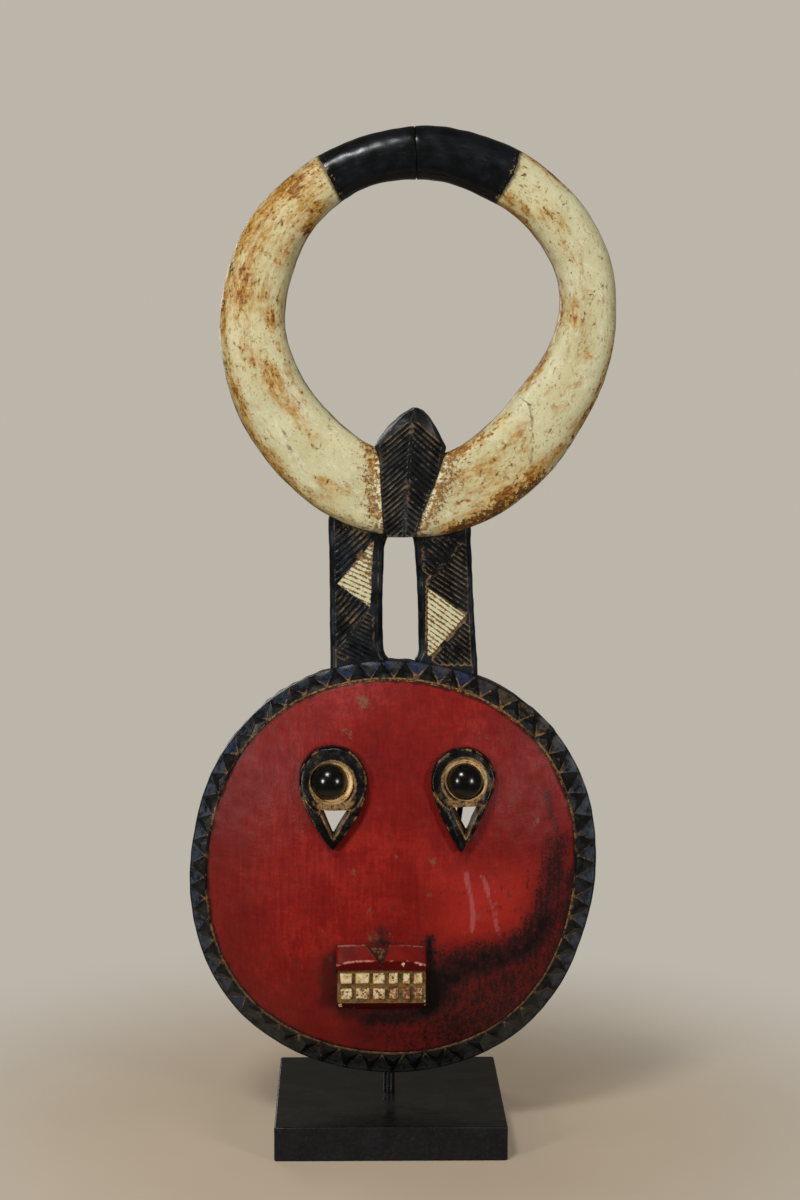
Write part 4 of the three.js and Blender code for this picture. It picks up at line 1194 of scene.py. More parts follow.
def red_face():
    """Old red distemper: brush streaks, soot with painted shadow and shade round the mouth and the eye bands,
    scratches and worn brown specks.
    """
    f = Finish("red_face")
    edge, smudge = f.measure("edge"), f.measure("smudge")
    broad, patch, spot = f.grain(60, 3, 0.6, shift=1.3), f.grain(16, 4, 0.65), f.grain(7, 4, 0.7, shift=5.0)
    speck, fine = f.grain(4.2, 3, 0.7, f.place((1, 1, 0.6)), shift=7.0), f.grain(2.4, 3, 0.65, shift=2.0)
    streak = f.grain(3.0, 3, 0.6, f.place((1, 1, 0.08)))
    cross = f.grain(3.4, 2, 0.5, f.place((0.1, 1, 1)), shift=4.0)
    tone = broad * 0.18 + patch * 0.15 + streak * 0.13 + cross * 0.05 + spot * 0.09 + fine * 0.06
    f.colour = f.mix((0.38 - tone * 1.3).clip(), panel_colour("red"), panel_colour("red_deep"))
    bright = ((f.axis(0) - 0.085) * 18).size().most(((f.axis(2) - 0.215) * 26).size()).step(1.3, 0.1)
    f.over((tone - 0.06).clip() * 1.5 + bright * 0.85, panel_colour("red_light"))
    f.over((spot * 0.4 + patch * 0.4 + streak * 0.15).step(0.15, 0.8) * 0.5, (72, 26, 24))
    # darker, duller red towards the left and the bottom; at the bottom dirt together with painted shade where
    # the light falls off
    dull_and_shaded = f.axis(0).step(-0.07, -0.17) * 0.5 + f.axis(2).step(0.19, 0.08) * 0.5 + patch * 0.1
    f.over(dull_and_shaded.clip(), (92, 31, 26))
    worn = f.measure("spot") * 1.2 + speck * 0.25 + spot * 0.25
    f.over(worn.step(0.5, 0.9) * 0.8, (118, 82, 58))
    f.over((speck + patch * 0.3).step(0.95, 1.3) * 0.5, (80, 46, 36))
    # soot and painted shadow of the mouth from the strokes, painted shade just outside the mouth and the eye
    # bands, and darker towards the bottom: solid where strong, broken into specks where thin
    painted_shade_beside = f.measure("mouth").step(7, 0) * 0.3 + f.measure("eye").step(3, 0) * 0.35
    soot_and_shade_cover = smudge + painted_shade_beside + f.axis(2).step(0.15, 0.075) * 0.16
    f.over((soot_and_shade_cover + patch * 0.06).step(0.08, 0.7) * 0.42, (76, 29, 28))
    broken = speck * 0.1 + streak * 0.17 + spot * 0.07 + fine * 0.23
    broken = broken * (0.3 + f.axis(0).step(-0.045, 0.01) * 0.7)
    soot_and_shade = (soot_and_shade_cover * 1.05 + broken).step(0.12, 0.98) * 0.94
    # darker within a few millimetres of the field's edge
    soot_and_shade = soot_and_shade.most((edge + spot * 1.2).step(2.4, 0.2) * 0.8)
    f.over(soot_and_shade, (31, 21, 21))
    f.over((soot_and_shade_cover + spot * 0.12).step(0.8, 1.1) * 0.85, (12, 9, 9))
    dry = f.grain(4, 2, 0.6, f.place((1, 1, 0.06)), shift=3.0)
    scratch = (f.measure("scratch") + dry * 0.3).step(0.45, 1.0)
    f.over(scratch * 0.5, (176, 100, 104))
    height = streak * 0.1 + fine * 0.08 + patch * 0.14 + spot * 0.1
    height = height - worn.step(0.5, 1.0) * 0.3 - scratch * 0.35
    rough = 0.42 - patch * 0.05 - soot_and_shade * 0.04
    return f.done(rough, height, 0.35, 0.9, specular=0.12)


def bead_rim():
    """The worn line of bare wood between the red face and the toothed rim."""
    f = Finish("bead_rim")
    spot, fine = f.grain(6, 4, 0.7), f.grain(2.4, 3, 0.7, shift=1.0)
    out = 0 - f.measure("edge") + spot * 0.5
    around = f.measure("around")
    upper = (around - 0.4).size().step(1.1, 0.4) * 0.5
    lower = f.axis(2).step(0.22, 0.13) * 0.35
    whole = f.grain(22, 3, 0.6, shift=2.0) * 0.45 + fine * 0.2 + spot * 0.3 + upper.most(lower) + 0.08
    bare = out.step(0.1, 0.6) * out.step(3.4, 2.0) * whole.step(-0.15, 0.35)
    wood = fine.between(f.mix(lower * 2.6, (158, 118, 70), (112, 84, 56)), (84, 60, 38))
    f.colour = f.mix(bare * 0.9, f.mix(out.step(0.0, 0.4), (60, 20, 17), NEAR_BLACK), wood)
    return f.done(0.6, fine * 0.15 + spot * 0.2, 0.3, specular=0.2)


def rim_paint(name, recess):
    """Black teeth, blue or grey hollows between them, rubbed to the wood at their feet, with painted sheen at
    the sides and on the lower teeth and painted shade in the creases.
    """
    f = Finish(name)
    rise, zigzag, around = f.measure("rise"), f.measure("zigzag"), f.measure("around")
    patch, spot, fine = f.grain(11, 4, 0.65), f.grain(5, 4, 0.7, shift=6.0), f.grain(2.4, 3, 0.7)
    blotch = f.grain(26, 3, 0.6, shift=3.0)
    f.colour = f.mix(patch.step(-0.6, 0.7), (11, 12, 12), (26, 28, 28))
    below = f.axis(2).step(0.16, 0.09)
    f.over(below * 0.4, (8, 9, 9))
    near = zigzag.size().step(1.9, 0.2)
    wide = (around - 0.55).size().step(0.75, 0.3)
    if recess:
        top = (around - 0.05).size().step(0.7, 0.25) * 0.62
        left = around.step(-0.2, -0.7) * around.step(-2.6, -2.2) * 0.4
        blue = top.most(left) + spot * 0.26 + blotch * 0.3
        grey = f.mix(wide, (46, 51, 55), (74, 62, 45))
        grey = f.mix(below * 0.6, grey, (50, 50, 46))
        # painted sheen: the hollows a lighter blue-grey towards the left and right sides, grey paint together
        # with painted sheen
        side = f.axis(0).size().step(0.10, 0.17) * (1 - below)
        grey = f.mix(side, grey, (72, 80, 90))
        f.over((spot * 0.4 + patch * 0.4).step(-0.7, 0.4) * 0.8, grey)
        rusty = wide * (spot * 0.5 + fine * 0.3).step(0.0, 0.7)
        f.over(rusty * 0.42, (112, 84, 48))
        f.over(blue.step(0.3, 0.85) * 0.85, fine.between((28, 38, 70), (40, 54, 80), 0.6))
        wear = (1 - rise * 1.9) * 0.4 + near * 0.54 + wide * 0.14
    else:
        # grey patches on the teeth, more towards the bottom: grey paint together with painted sheen
        grey_and_sheen_low = around.size().step(1.2, 2.4)
        f.over((patch * 0.5 + spot * 0.5).step(0.3, 0.9) * (grey_and_sheen_low * 0.4 + 0.15), (42, 50, 54))
        wear = (1 - rise * 5.0).clip() * 0.35 + near * 0.46 + wide * 0.1
    wear = wear - below * 0.1 + blotch * 0.2 + spot * 0.26 + fine * 0.1
    wear = wear.step(0.5, 0.85) * rise.step(1.0, 0.9)
    f.over(wear * 0.85, fine.between((150, 112, 66), (92, 64, 38)))
    border = (rise + spot * 0.03).step(0.9, 0.96)
    f.over(border * 0.85, (10, 12, 14))
    edge = (f.measure("rub") + fine * 0.2 + spot * 0.25 + wide * 0.1).step(0.95, 1.3)
    f.over(edge * 0.6, (120, 90, 56))
    # painted shade: near black along the inward creases between teeth and hollows
    f.over(f.measure("pit").step(0.25, 0.8) * 0.5, NEAR_BLACK)
    rough = 0.33 + patch * 0.05 + wear * 0.3
    return f.done(rough, patch * 0.12 + spot * 0.1, 0.4, 0.9, specular=0.25)


def tooth_paint():
    """The teeth of the rim."""
    return rim_paint("tooth_paint", False)


def recess_paint():
    """The hollows between the teeth and the side of the rim."""
    return rim_paint("recess_paint", True)


def horn_grain(f, stretch, size, detail, rough, shift=0.0):
    """Grain that runs along a horn, drawn out the more the smaller the stretch."""
    where = f.join(f.measure("across") * 0.05, f.measure("along") * stretch, f.axis(1))
    return f.grain(size, detail, rough, where, shift)


def horn_paint():
    """Cream horns with rust and brown stains that run along them, and black tips."""
    f = Finish("horn_paint")
    stain, grime, joint = f.measure("stain"), f.measure("grime"), f.measure("joint")
    tip, front = f.measure("tip"), f.measure("front")
    streak, dash = horn_grain(f, 0.00028, 3.4, 3, 0.7), horn_grain(f, 0.00045, 3.0, 2, 0.7, 7.0)
    sweep, tiny = horn_grain(f, 0.00012, 10, 3, 0.6, 2.0), horn_grain(f, 0.0006, 1.7, 2, 0.8, 6.0)
    patch, spot = f.grain(26, 3, 0.6), f.grain(8, 4, 0.7, shift=1.0)
    speck, fine = f.grain(4.0, 3, 0.75, shift=5.0), f.grain(2.3, 2, 0.7)
    f.colour = f.mix((0.42 + patch * 0.35 + sweep * 0.3).clip(), panel_colour("cream"), (190, 182, 136))
    f.over((streak * 0.5 + sweep * 0.4 + fine * 0.15).step(0.0, 0.7) * 0.7, (230, 227, 196))
    f.over((tiny * 0.5 + streak * 0.35 + fine * 0.2 + stain * 0.2).step(-0.1, 0.9) * 0.34, (166, 148, 92))
    f.over((tiny * 0.5 - streak * 0.3 + sweep * 0.2).step(0.25, 0.8) * 0.45, (236, 232, 206))
    f.over((fine * 0.3 - streak * 0.4 + dash * 0.5 + stain * 0.5).step(0.34, 0.9) * 0.5, (148, 118, 62))
    f.over(stain.step(0.12, 0.8) * 0.4, (200, 164, 72))
    # translucent rust that soaks in, then rust specks, then dark pits
    soak = stain * 1.25 + sweep * 0.28 + patch * 0.14 + streak * 0.26 + dash * 0.14
    f.over(soak.step(0.3, 1.05) * 0.86, (170, 114, 18))
    pale = (streak * 0.4 + dash * 0.4 - stain * 0.2).step(0.2, 0.6) * stain.step(0.2, 0.5)
    f.over(pale * 0.7, (222, 206, 158))
    rust = stain * 0.7 + dash * 0.26 + speck * 0.12 + streak * 0.24 + spot * 0.16
    f.over(rust.step(0.5, 0.78) * 0.86, (132, 78, 10))
    deep = stain * 0.6 + dash * 0.3 + fine * 0.35 + speck * 0.25
    f.over(deep.step(0.62, 1.05) * 0.75, (80, 48, 10))
    flecks = (0 - fine * 0.5 - dash * 0.4 + stain * 0.1).step(0.3, 0.75) * stain.step(0.25, 0.5)
    f.over(flecks * 0.55, (214, 190, 130))
    pits = stain * 0.3 + grime * 0.85 + speck * 0.34 + fine * 0.24 + spot * 0.14
    f.over(pits.step(0.62, 0.88) * 0.88, (84, 52, 22))
    # brown patina where the horns turn away, rust and chips where they meet the leaf
    turned = (1 - front) * 0.95 + spot * 0.2 + sweep * 0.25
    f.over(turned.step(0.3, 0.95) * 0.85, patch.between((142, 106, 60), (100, 72, 44)))
    seep = joint.step(26, -2) * front * 0.82 + speck * 0.34 + streak * 0.14 + fine * 0.2
    f.over(seep.step(0.34, 0.74) * 0.85, fine.between((164, 110, 34), (98, 60, 20)))
    chips = front * joint.step(4.5, 1.6) * f.grain(3.6, 3, 0.7, shift=3.0).step(0.0, 0.3)
    f.over(chips * 0.9, (232, 224, 186))
    split = (f.measure("crack") + fine * 0.25).step(1.6, 0.5)
    f.over(split * 0.62, (84, 66, 42))
    # black tips with a ragged brown line beside them
    ragged = tip + f.grain(6.0, 4, 0.7, shift=4.0) * 0.9
    f.over(ragged.size().step(3.4, 0.6) * 0.85, (84, 58, 34))
    black = ragged.step(-0.25, 0.45)
    f.over(black, patch.between((9, 11, 11), (15, 19, 23), 0.6))
    nicks = tip.step(0.4, 1.6) * tip.step(5, 2.4) * f.grain(3.5, 3, 0.7, shift=9.0).step(0.4, 0.8)
    f.over(nicks * 0.8, (150, 120, 74))
    height = streak * 0.16 + tiny * 0.08 + speck * 0.12 - rust.step(0.4, 0.8) * 0.3 - split * 0.6
    height = height * (1 - black * 0.9) + black * (0.4 + patch * 0.05)
    rough = 0.41 + streak * 0.05 + rust.step(0.3, 0.8) * 0.2 - black * 0.14 + black * patch * 0.05
    return f.done(rough, height, 0.32, 0.9, specular=0.28)


def groove_distance(f, field):
    """Distance in millimetres to the parallel grooves of one carved field."""
    corners, slope, pitch = field
    run, climb = math.cos(math.radians(slope)), math.sin(math.radians(slope))
    first = min(z * run - x * climb for x, z in corners) + pitch * HATCH_START
    height = f.axis(2) * (run * 1000) - f.axis(0) * (climb * 1000)
    phase = f.node("Math", {0: (height - first) / pitch}, operation="FRACT")
    return (0.5 - (phase - 0.5).size()) * pitch


def black_carving(name, leaf):
    """Black legs or leaf: ridges between the grooves rubbed to ochre, a painted blue-grey glint along the
    border, painted shade in the creases, two cream triangles.
    """
    f = Finish(name)
    cut, panel, rub, pit = f.measure("cut"), f.measure("panel"), f.measure("rub"), f.measure("pit")
    groove = f.measure("groove")
    patch, spot, fine = f.grain(18, 3, 0.6), f.grain(5, 4, 0.75, shift=3.0), f.grain(2.2, 3, 0.7)
    broad = f.grain(40, 2, 0.5, shift=4.0)
    dark, light = ((20, 21, 20), (36, 37, 36)) if leaf else ((16, 18, 19), (31, 35, 38))
    f.colour = patch.between(dark, light, 0.6)
    front = cut.step(3.0, 1.8)
    inside = panel.step(-0.2, 0.9)
    ridge = groove.step(1.0, 1.8) * groove.step(2.9, 2.4) * cut.step(0.3, 0.05) * inside
    low = f.axis(2).step(0.60, 0.545) * 0.3 - 0.04 if leaf else f.axis(0).step(0.01, 0.03) * 0.3 - 0.08
    worn = ridge * (spot * 0.35 + broad * 0.3 + fine * 0.15 + patch * 0.15 + low).step(-0.1, 0.4)
    f.over(worn * 0.8, fine.between((148, 116, 74), (96, 72, 46)))
    # rubbed lines along the smooth border and on outer edges
    line = panel.size().step(0.9, 0.2).most(f.measure("divide").step(0.8, 0.3))
    line = line * front * (spot * 0.35 + patch * 0.35).step(0.1, 0.5)
    edge = (rub + spot * 0.35 + patch * 0.25).step(0.95, 1.3) * (1 - inside)
    f.over((line * 0.75).most(edge * 0.6), (124, 94, 58))
    # painted glint: a blue-grey line along the bevel of the border
    glint = (panel + 2.0).size().step(1.3, 0.4) * (patch * 0.4 + spot * 0.3).step(-0.3, 0.5) * front
    f.over(glint * 0.75, (62, 74, 86))
    rough = 0.33 + patch * 0.03 + worn * 0.25
    # painted shade: near black along the inward creases, in the grooves and where the parts meet
    f.over(pit.step(0.35, 0.9) * 0.5, NEAR_BLACK)
    if leaf:
        crest = front * f.measure("ridge").step(1.3, 0.5) * (spot * 0.4 + patch * 0.3).step(0.1, 0.5)
        f.over(crest * 0.8, (128, 86, 48))
    else:
        into = f.measure("cream")
        shape = (into + spot * 0.6 + fine * 0.2).step(-0.4, 0.3) * front
        pale = f.mix((spot * 0.6 + fine * 0.4).step(0.0, 0.9), (212, 208, 170), (176, 156, 104))
        sunk = fine.between((160, 126, 72), (108, 80, 42))
        left = f.axis(0).step(0.004, -0.004)
        lines = f.mix(left, groove_distance(f, HATCH_RIGHT[2]), groove_distance(f, HATCH_LEFT[1]))
        triangle = f.mix((spot * 0.6 + patch * 0.25 + fine * 0.4 - lines).step(-1.1, -0.35), pale, sunk)
        upper = f.axis(2).step(0.484, 0.500) * 0.22
        chipped = f.mix(left, into.step(2.6, 0.4) * 0.3, into.step(5.5, 0.6) * 0.46 + upper)
        chipped = chipped + spot * 0.3 + patch * 0.25
        triangle = f.mix(chipped.step(0.5, 0.8) * 0.85, triangle, fine.between((128, 92, 52), (84, 58, 32)))
        f.over(shape, triangle)
        rough = rough + shape * 0.22
        seam = f.measure("joint").step(6, 0.5) * spot.step(0.0, 0.6)
        f.over(seam * 0.6, BROWN)
    return f.done(rough, patch * 0.1 + spot * 0.06 - worn * 0.2, 0.3, 0.8, specular=0.22)


def leg_paint():
    """The two legs."""
    return black_carving("leg_paint", False)


def leaf_paint():
    """The leaf between the horns."""
    return black_carving("leaf_paint", True)


def band_paint():
    """Black teardrop round each eye with worn ochre lines along its edges and round the socket."""
    f = Finish("band_paint")
    edge, socket, hole = f.measure("edge"), f.measure("socket"), f.measure("hole")
    patch, spot, fine = f.grain(12, 3, 0.6), f.grain(5, 4, 0.75, shift=3.0), f.grain(2.2, 3, 0.7)
    f.colour = patch.between((8, 9, 9), (20, 21, 21), 0.6)
    wave, whole = spot * 0.6, patch * 0.4 + spot * 0.25
    outer = (edge + wave - 1.1).size().step(1.2, 0.3) * whole.step(-0.05, 0.35)
    joint = (socket + wave * 0.5 - 7.7).size().step(1.0, 0.3) * hole.step(20, 12) * whole.step(-0.3, 0.1)
    inner = (socket + wave * 0.6).size().step(1.6, 0.4)
    lip = (hole + wave * 0.5).size().step(1.5, 0.4) * whole.step(-0.3, 0.2)
    bridge = hole.step(10, 5) * socket.step(5.5, 3.0)
    worn = outer.most(joint).most(inner).most(lip).most(bridge * whole.step(-0.5, 0.1))
    smear = (spot * 0.4 + patch * 0.4 + fine * 0.2).step(0.25, 0.7)
    f.over(smear * 0.6, (86, 66, 40))
    f.over(worn * 0.86, fine.between((160, 122, 76), (104, 74, 44)))
    rough = 0.27 + patch * 0.04 + worn * 0.3
    return f.done(rough, patch * 0.14 + spot * 0.06, 0.6, 1.0, specular=0.13)


def socket_paint():
    """Ochre cone of the socket, streaked brown round the ball."""
    f = Finish("socket_paint")
    socket, ball = f.measure("socket"), f.measure("ball")
    patch, spot = f.grain(8, 3, 0.6), f.grain(4, 4, 0.75, shift=3.0)
    rings = f.grain(2.2, 3, 0.6, f.join(ball * 0.001, f.axis(0) * 0.12, f.axis(2) * 0.12))
    f.colour = patch.between((246, 214, 158), (226, 182, 118), 0.6)
    f.over((rings * 0.5 + spot * 0.35).step(0.05, 0.5) * 0.85, (142, 88, 42))
    f.over((spot * 0.6 + rings * 0.3).step(0.45, 0.8) * 0.7, (104, 54, 28))
    f.over((socket + spot * 0.8).step(-0.9, 0.6) * 0.65, (100, 68, 40))
    f.over(f.measure("hole").step(12, 4) * 0.55, (140, 98, 54))
    return f.done(0.5 + spot * 0.06, rings * 0.15 + spot * 0.1, 0.45, 0.9, specular=0.35)


def shaft_paint():
    """Inner walls of the eye holes: dark wood with ochre near the front edge."""
    f = Finish("shaft_paint")
    spot, fine = f.grain(4, 4, 0.7), f.grain(2.0, 3, 0.7)
    front = (f.axis(1) + spot * 0.002).step(-0.058, -0.066)
    dark = spot.between((72, 46, 30), (40, 27, 19), 0.6)
    f.colour = f.mix(front, dark, fine.between((146, 106, 62), (96, 66, 40)))
    return f.done(0.6, spot * 0.2 + fine * 0.1, 0.4, 0.9, specular=0.3)


def lip_paint():
    """Red lips with pale lines along their ridges, rubbed paint together with painted highlight, ochre chips,
    a brown notch and an olive gum, with soot and painted shadow at their ends and painted shade in their
    creases.
    """
    f = Finish("lip_paint")
    notch, gum, smudge = (f.measure(name) for name in ("notch", "gum", "smudge"))
    fold, up = f.measure("fold"), f.axis(2)
    patch, spot, fine = f.grain(11, 3, 0.6), f.grain(4.5, 4, 0.75, shift=3.0), f.grain(2.2, 3, 0.7)
    f.colour = f.mix(f.measure("below").step(-0.4, 0.6), (114, 23, 15), (78, 10, 9))
    f.over((0.35 + patch * 0.3).clip(), (70, 14, 14))
    f.over(up.step(0.133, 0.128) * 0.6, (40, 12, 13))
    # pale pink lines along the top edge and the ridge: rubbed paint together with painted highlight, stronger
    # on the left
    left = f.axis(0).step(0.012, -0.02) * 0.35
    line = (fold + fine * 0.25).step(1.3, 0.4) * (spot * 0.35 + patch * 0.35 + left).step(-0.1, 0.5)
    f.over(line * (0.75 - up.step(0.172, 0.178) * 0.35), (214, 136, 122))
    f.over((notch + spot * 1.3).step(-0.8, 1.2) * 0.9, fine.between((104, 80, 58), (50, 32, 24)))
    sunk = (gum + spot * 0.3).step(-0.2, 0.5)
    olive = f.mix((fine * 0.3 + patch * 0.3).step(-0.4, 0.5), (130, 104, 62), (76, 53, 29))
    olive = f.mix(f.grain(7, 2, shift=8.0).step(0.3, 0.8) * 0.7, olive, (138, 88, 38))
    f.over(sunk, olive)
    chip = f.measure("chip") + fine * 0.2 + spot * 0.2
    f.over(chip.step(0.55, 0.75), (216, 188, 136))
    # soot together with painted shadow of the mouth, reaching onto the ends of the lips
    lip_soot_and_shadow = (smudge + spot * 0.25).step(0.4, 1.0) * (1 - sunk * 0.8)
    f.over(lip_soot_and_shadow * 0.8, (24, 14, 14))
    # painted shade: dark brown along the inward creases of the lips
    f.over(f.measure("pit").step(0.4, 1.0) * 0.6, (38, 24, 14))
    rough = 0.42 + patch * 0.04 + sunk * 0.2
    return f.done(rough, patch * 0.1 + spot * 0.1, 0.35, 0.9, specular=0.06)


def enamel_paint():
    """Cream teeth stained brown red, more on the lower row and to the right."""
    f = Finish("enamel_paint")
    patch, spot, fine = f.grain(6, 3, 0.6), f.grain(4.2, 4, 0.8, shift=3.0), f.grain(2.2, 3, 0.7)
    right, low = f.axis(0).step(-0.04, 0.015), f.axis(2).step(0.150, 0.141)
    f.colour = f.mix(patch.step(-0.5, 0.6), (222, 202, 156), (196, 168, 118))
    f.over((right * 0.4 + low * 0.4 + patch * 0.25).step(0.1, 1.0) * 0.45, (186, 126, 88))
    stain = (right * 0.2 + low * 0.26 + spot * 0.36 + fine * 0.25).step(0.28, 0.5)
    f.over(stain * 0.9, fine.between((130, 56, 28), (72, 30, 16), 0.4))
    f.over((f.measure("rub") + spot * 0.25).step(0.7, 1.1) * 0.4, (140, 104, 62))
    return f.done(0.42, patch * 0.08 + spot * 0.1 - stain * 0.5, 0.4, 1.0, specular=0.2)


def back_wood():
    """Bare brown wood behind the face: grain that runs up the board, gouge marks, old dirt."""
    f = Finish("back_wood")
    grain = f.grain(3.4, 5, 0.65, f.place((1, 1, 0.045)))
    wide = f.grain(14, 3, 0.6, f.place((1, 1, 0.12)), shift=2.0)
    patch, fine = f.grain(45, 3, 0.6), f.grain(2.2, 3, 0.7)
    sockets = {"Vector": f.place((1, 1, 0.5)), "Scale": 1000 / 14}
    gouge = f.node("TexVoronoi", sockets, "Distance", feature="SMOOTH_F1")
    f.colour = f.mix((grain * 0.5 + wide * 0.5).step(-0.6, 0.7), (76, 51, 34), (120, 86, 57))
    f.over(patch.step(-0.1, 0.8) * 0.6, (52, 35, 25))
    f.over(gouge.step(0.5, 0.8) * 0.35, (48, 32, 23))
    f.over((grain + fine * 0.6).step(0.7, 1.1) * 0.5, (38, 26, 19))
    height = (1 - gouge) + grain * 0.08 + fine * 0.04
    return f.done(0.66 + patch * 0.06, height, 0.8, 0.8, specular=0.3)


# Zones of the mask: paint, and how far long and short waves move the skin
ZONE_TABLE = dict(
    field=(red_face, 0.8, 0.25), bead=(bead_rim, 0.7, 0.2), tooth=(tooth_paint, 0.6, 0.2),
    recess=(recess_paint, 0.6, 0.2), side=(recess_paint, 0.6, 0.2), back=(back_wood, 1.2, 0.9),
    horn=(horn_paint, 1.3, 0.3), leg=(leg_paint, 0.7, 0.35), leaf=(leaf_paint, 0.7, 0.3),
    band=(band_paint, 0.5, 0.45), socket=(socket_paint, 0.1, 0.1), shaft=(shaft_paint, 0.5, 0.5),
    lip=(lip_paint, 0.6, 0.35), enamel=(enamel_paint, 0.3, 0.3),
)
ZONES = tuple(ZONE_TABLE)


def ball_gloss():
    """Near black lacquer of the eyes, a little brown where it is thin."""
    f = Finish("ball_gloss")
    spot, fine = f.grain(8, 3), f.grain(2.2, 3, 0.7)
    f.colour = f.mix(spot.step(-0.5, 0.8), (3, 3, 3), (9, 6, 5))
    f.over(fine.step(0.8, 1.2) * 0.2, (70, 62, 54))
    return f.done(0.19 + spot * 0.02, spot * 0.2, 0.08, 0.7, specular=0.46)


def rod_paint():
    """Satin black paint on steel, dusty and a little scuffed."""
    f = Finish("rod_black")
    patch, fine = f.grain(18, 3, 0.6), f.grain(2.4, 3, 0.7)
    f.colour = patch.between((9, 9, 10), (18, 19, 21), 0.6)
    scuff = f.grain(3.4, 3, 0.7, f.place((1, 1, 0.15)), shift=4.0).step(0.7, 1.1)
    f.over(scuff * 0.4, (70, 70, 70))
    return f.done(0.3 + patch * 0.05 + scuff * 0.2, fine * 0.3, 0.08, metal=0.2)


def stone(name, honed):
    """Fine black stone, polished on top and honed to a cooler grey on its sides; the top's warmer brown-black
    is a painted reflection of the warm room.
    """
    f = Finish(name)
    cloud, speck, fine = f.grain(24, 4, 0.65), f.grain(3.2, 3, 0.7), f.grain(2.4, 2, 0.6, shift=2.0)
    if honed:
        f.colour = f.mix((cloud * 0.4 + speck * 0.4).step(-0.5, 0.6), (11, 12, 14), (20, 21, 24))
        f.over(fine.step(0.5, 1.0) * 0.25, (46, 48, 52))
        return f.done(0.55 + cloud * 0.05, fine * 0.3, 0.05, 0.5, specular=0.2)
    # painted reflection: the top a warmer brown-black than the sides, for the warm room it mirrors
    f.colour = cloud.between((15, 13, 10), (25, 22, 18), 0.6)
    f.over(speck.step(0.7, 1.1) * 0.35, (52, 50, 45))
    dust = f.grain(12, 4, 0.7, f.place((0.3, 1, 1)), shift=6.0)
    return f.done(0.24 + dust.step(-0.3, 0.8) * 0.14, cloud * 0.3, 0.02, 0.5, specular=0.3)


def pale_floor():
    """Plain pale floor that fades out far from the part."""
    f = Finish("pale_floor")
    colour = f.grain(240, 3, 0.5).between(panel_colour("floor"), panel_colour("floor", 0.95), 1)
    away = f.node("VectorMath", {0: f.place()}, "Value", operation="LENGTH")
    return f.close({"Base Color": f.mix(0.35, colour, (0, 0, 0)), "Roughness": 0.85,
                    "Specular IOR Level": 0.2, "Emission Color": colour, "Emission Strength": 0.19,
                    "Alpha": away.step(0.66, 0.16)})


# Stand and eyes


def plain_piece(made, name, materials, angle):
    """Names and shades a bare object; a second material goes on all that doesn't face up."""
    made.name = made.data.name = name
    tidy_mesh(made.data)
    normals = np.empty(len(made.data.polygons) * 3)
    made.data.polygons.foreach_get("normal", normals)
    steep = normals.reshape(-1, 3)[:, 2] < FACING_UP
    shade_skin(made.data, materials, steep * (len(materials) - 1), angle)
    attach(made, "root")
    return made


def make_ball(eye):
    """A domed plug of lacquered wood, its skirt set in the seat."""
    profile = [(BALL_RADIUS - 0.5, GAP), (BALL_RADIUS, GAP + 0.5), (BALL_RADIUS, BALL_SKIRT)]
    for turn in np.arange(1, BALL_RINGS) / BALL_RINGS * TURN / 4:
        profile.append((BALL_RADIUS * math.cos(turn), BALL_SKIRT + BALL_RISE * math.sin(turn)))
    sunk = (0, SOCKET_FLOOR - BALL_SKIRT, 0)
    loops = [put_on_dome(loop + sunk, *eye["ball"]) for loop in lathe(profile, BALL_SIDES)]
    return lofted("ball", loops, "enamel")


def arm_path(side):
    """Middle line of one arm: up behind the face, past the eye, hooked under the rim."""
    turn = side * ARM_TURN
    hollow = float(outline(RIM_OUTLINE, turn)) - HOLLOW_BORDER
    reach = ARM_REACH * hollow - GAP - ARM_RADIUS - ARM_ROOM
    points = [(side * x - (ARM_BEND if z > BEND_FROM else 0), 0, z) for x, z in ARM_RUN]
    points += [circle(DISC, reach + out, turn, y) for out, y in ARM_HOOK]
    points = np.array(points, float)
    gaps = np.sqrt(np.linalg.norm(np.diff(points, axis=0), axis=1))
    knots = np.append(0, np.cumsum(gaps))
    full = np.vstack([2 * points[0] - points[1], points, 2 * points[-1] - points[-2]])
    at = np.concatenate([[-gaps[0]], knots, [knots[-1] + gaps[-1]]])
    path = []
    for value in np.linspace(0, knots[-1], ARM_STEPS):
        i = min(len(points) - 2, int(np.searchsorted(knots, value, side="right")) - 1)
        p, t = full[i:i + 4], at[i:i + 4]
        for span in (1, 2):
            p = [((t[k + span] - value) * p[k] + (value - t[k]) * p[k + 1]) / (t[k + span] - t[k])
                 for k in range(4 - span)]
        path.append(((t[2] - value) * p[0] + (value - t[1]) * p[1]) / (t[2] - t[1]))
    return np.array(path)


def tube(path, radius, sides):
    """Loops round a path, each turned as little as can be from the last."""
    ways = np.gradient(path, axis=0)
    ways /= np.linalg.norm(ways, axis=1, keepdims=True)
    across = Vector((0, 1, 0))
    turn = turns(sides)
    loops = []
    for point, way in zip(path, ways):
        way = Vector(way)
        across = (across - way * across.dot(way)).normalized()
        other = way.cross(across)
        loops.append(point + radius * (np.outer(np.cos(turn), across) + np.outer(np.sin(turn), other)))
    return loops


def make_fork():
    """Post and two arms as one rod."""
    ring = np.stack([np.cos(turns(POST_SIDES)), np.sin(turns(POST_SIDES))], 1)
    loops = [np.insert(ring * (POST_RADIUS - inset), 2, z, 1) for inset, z in POST_RINGS]
    body = lofted("fork", loops, "shaft")
    for side in (-1, 1):
        carve(body, lofted("arm", tube(arm_path(side), ARM_RADIUS, ARM_SIDES), "shaft"), "UNION")
    return body


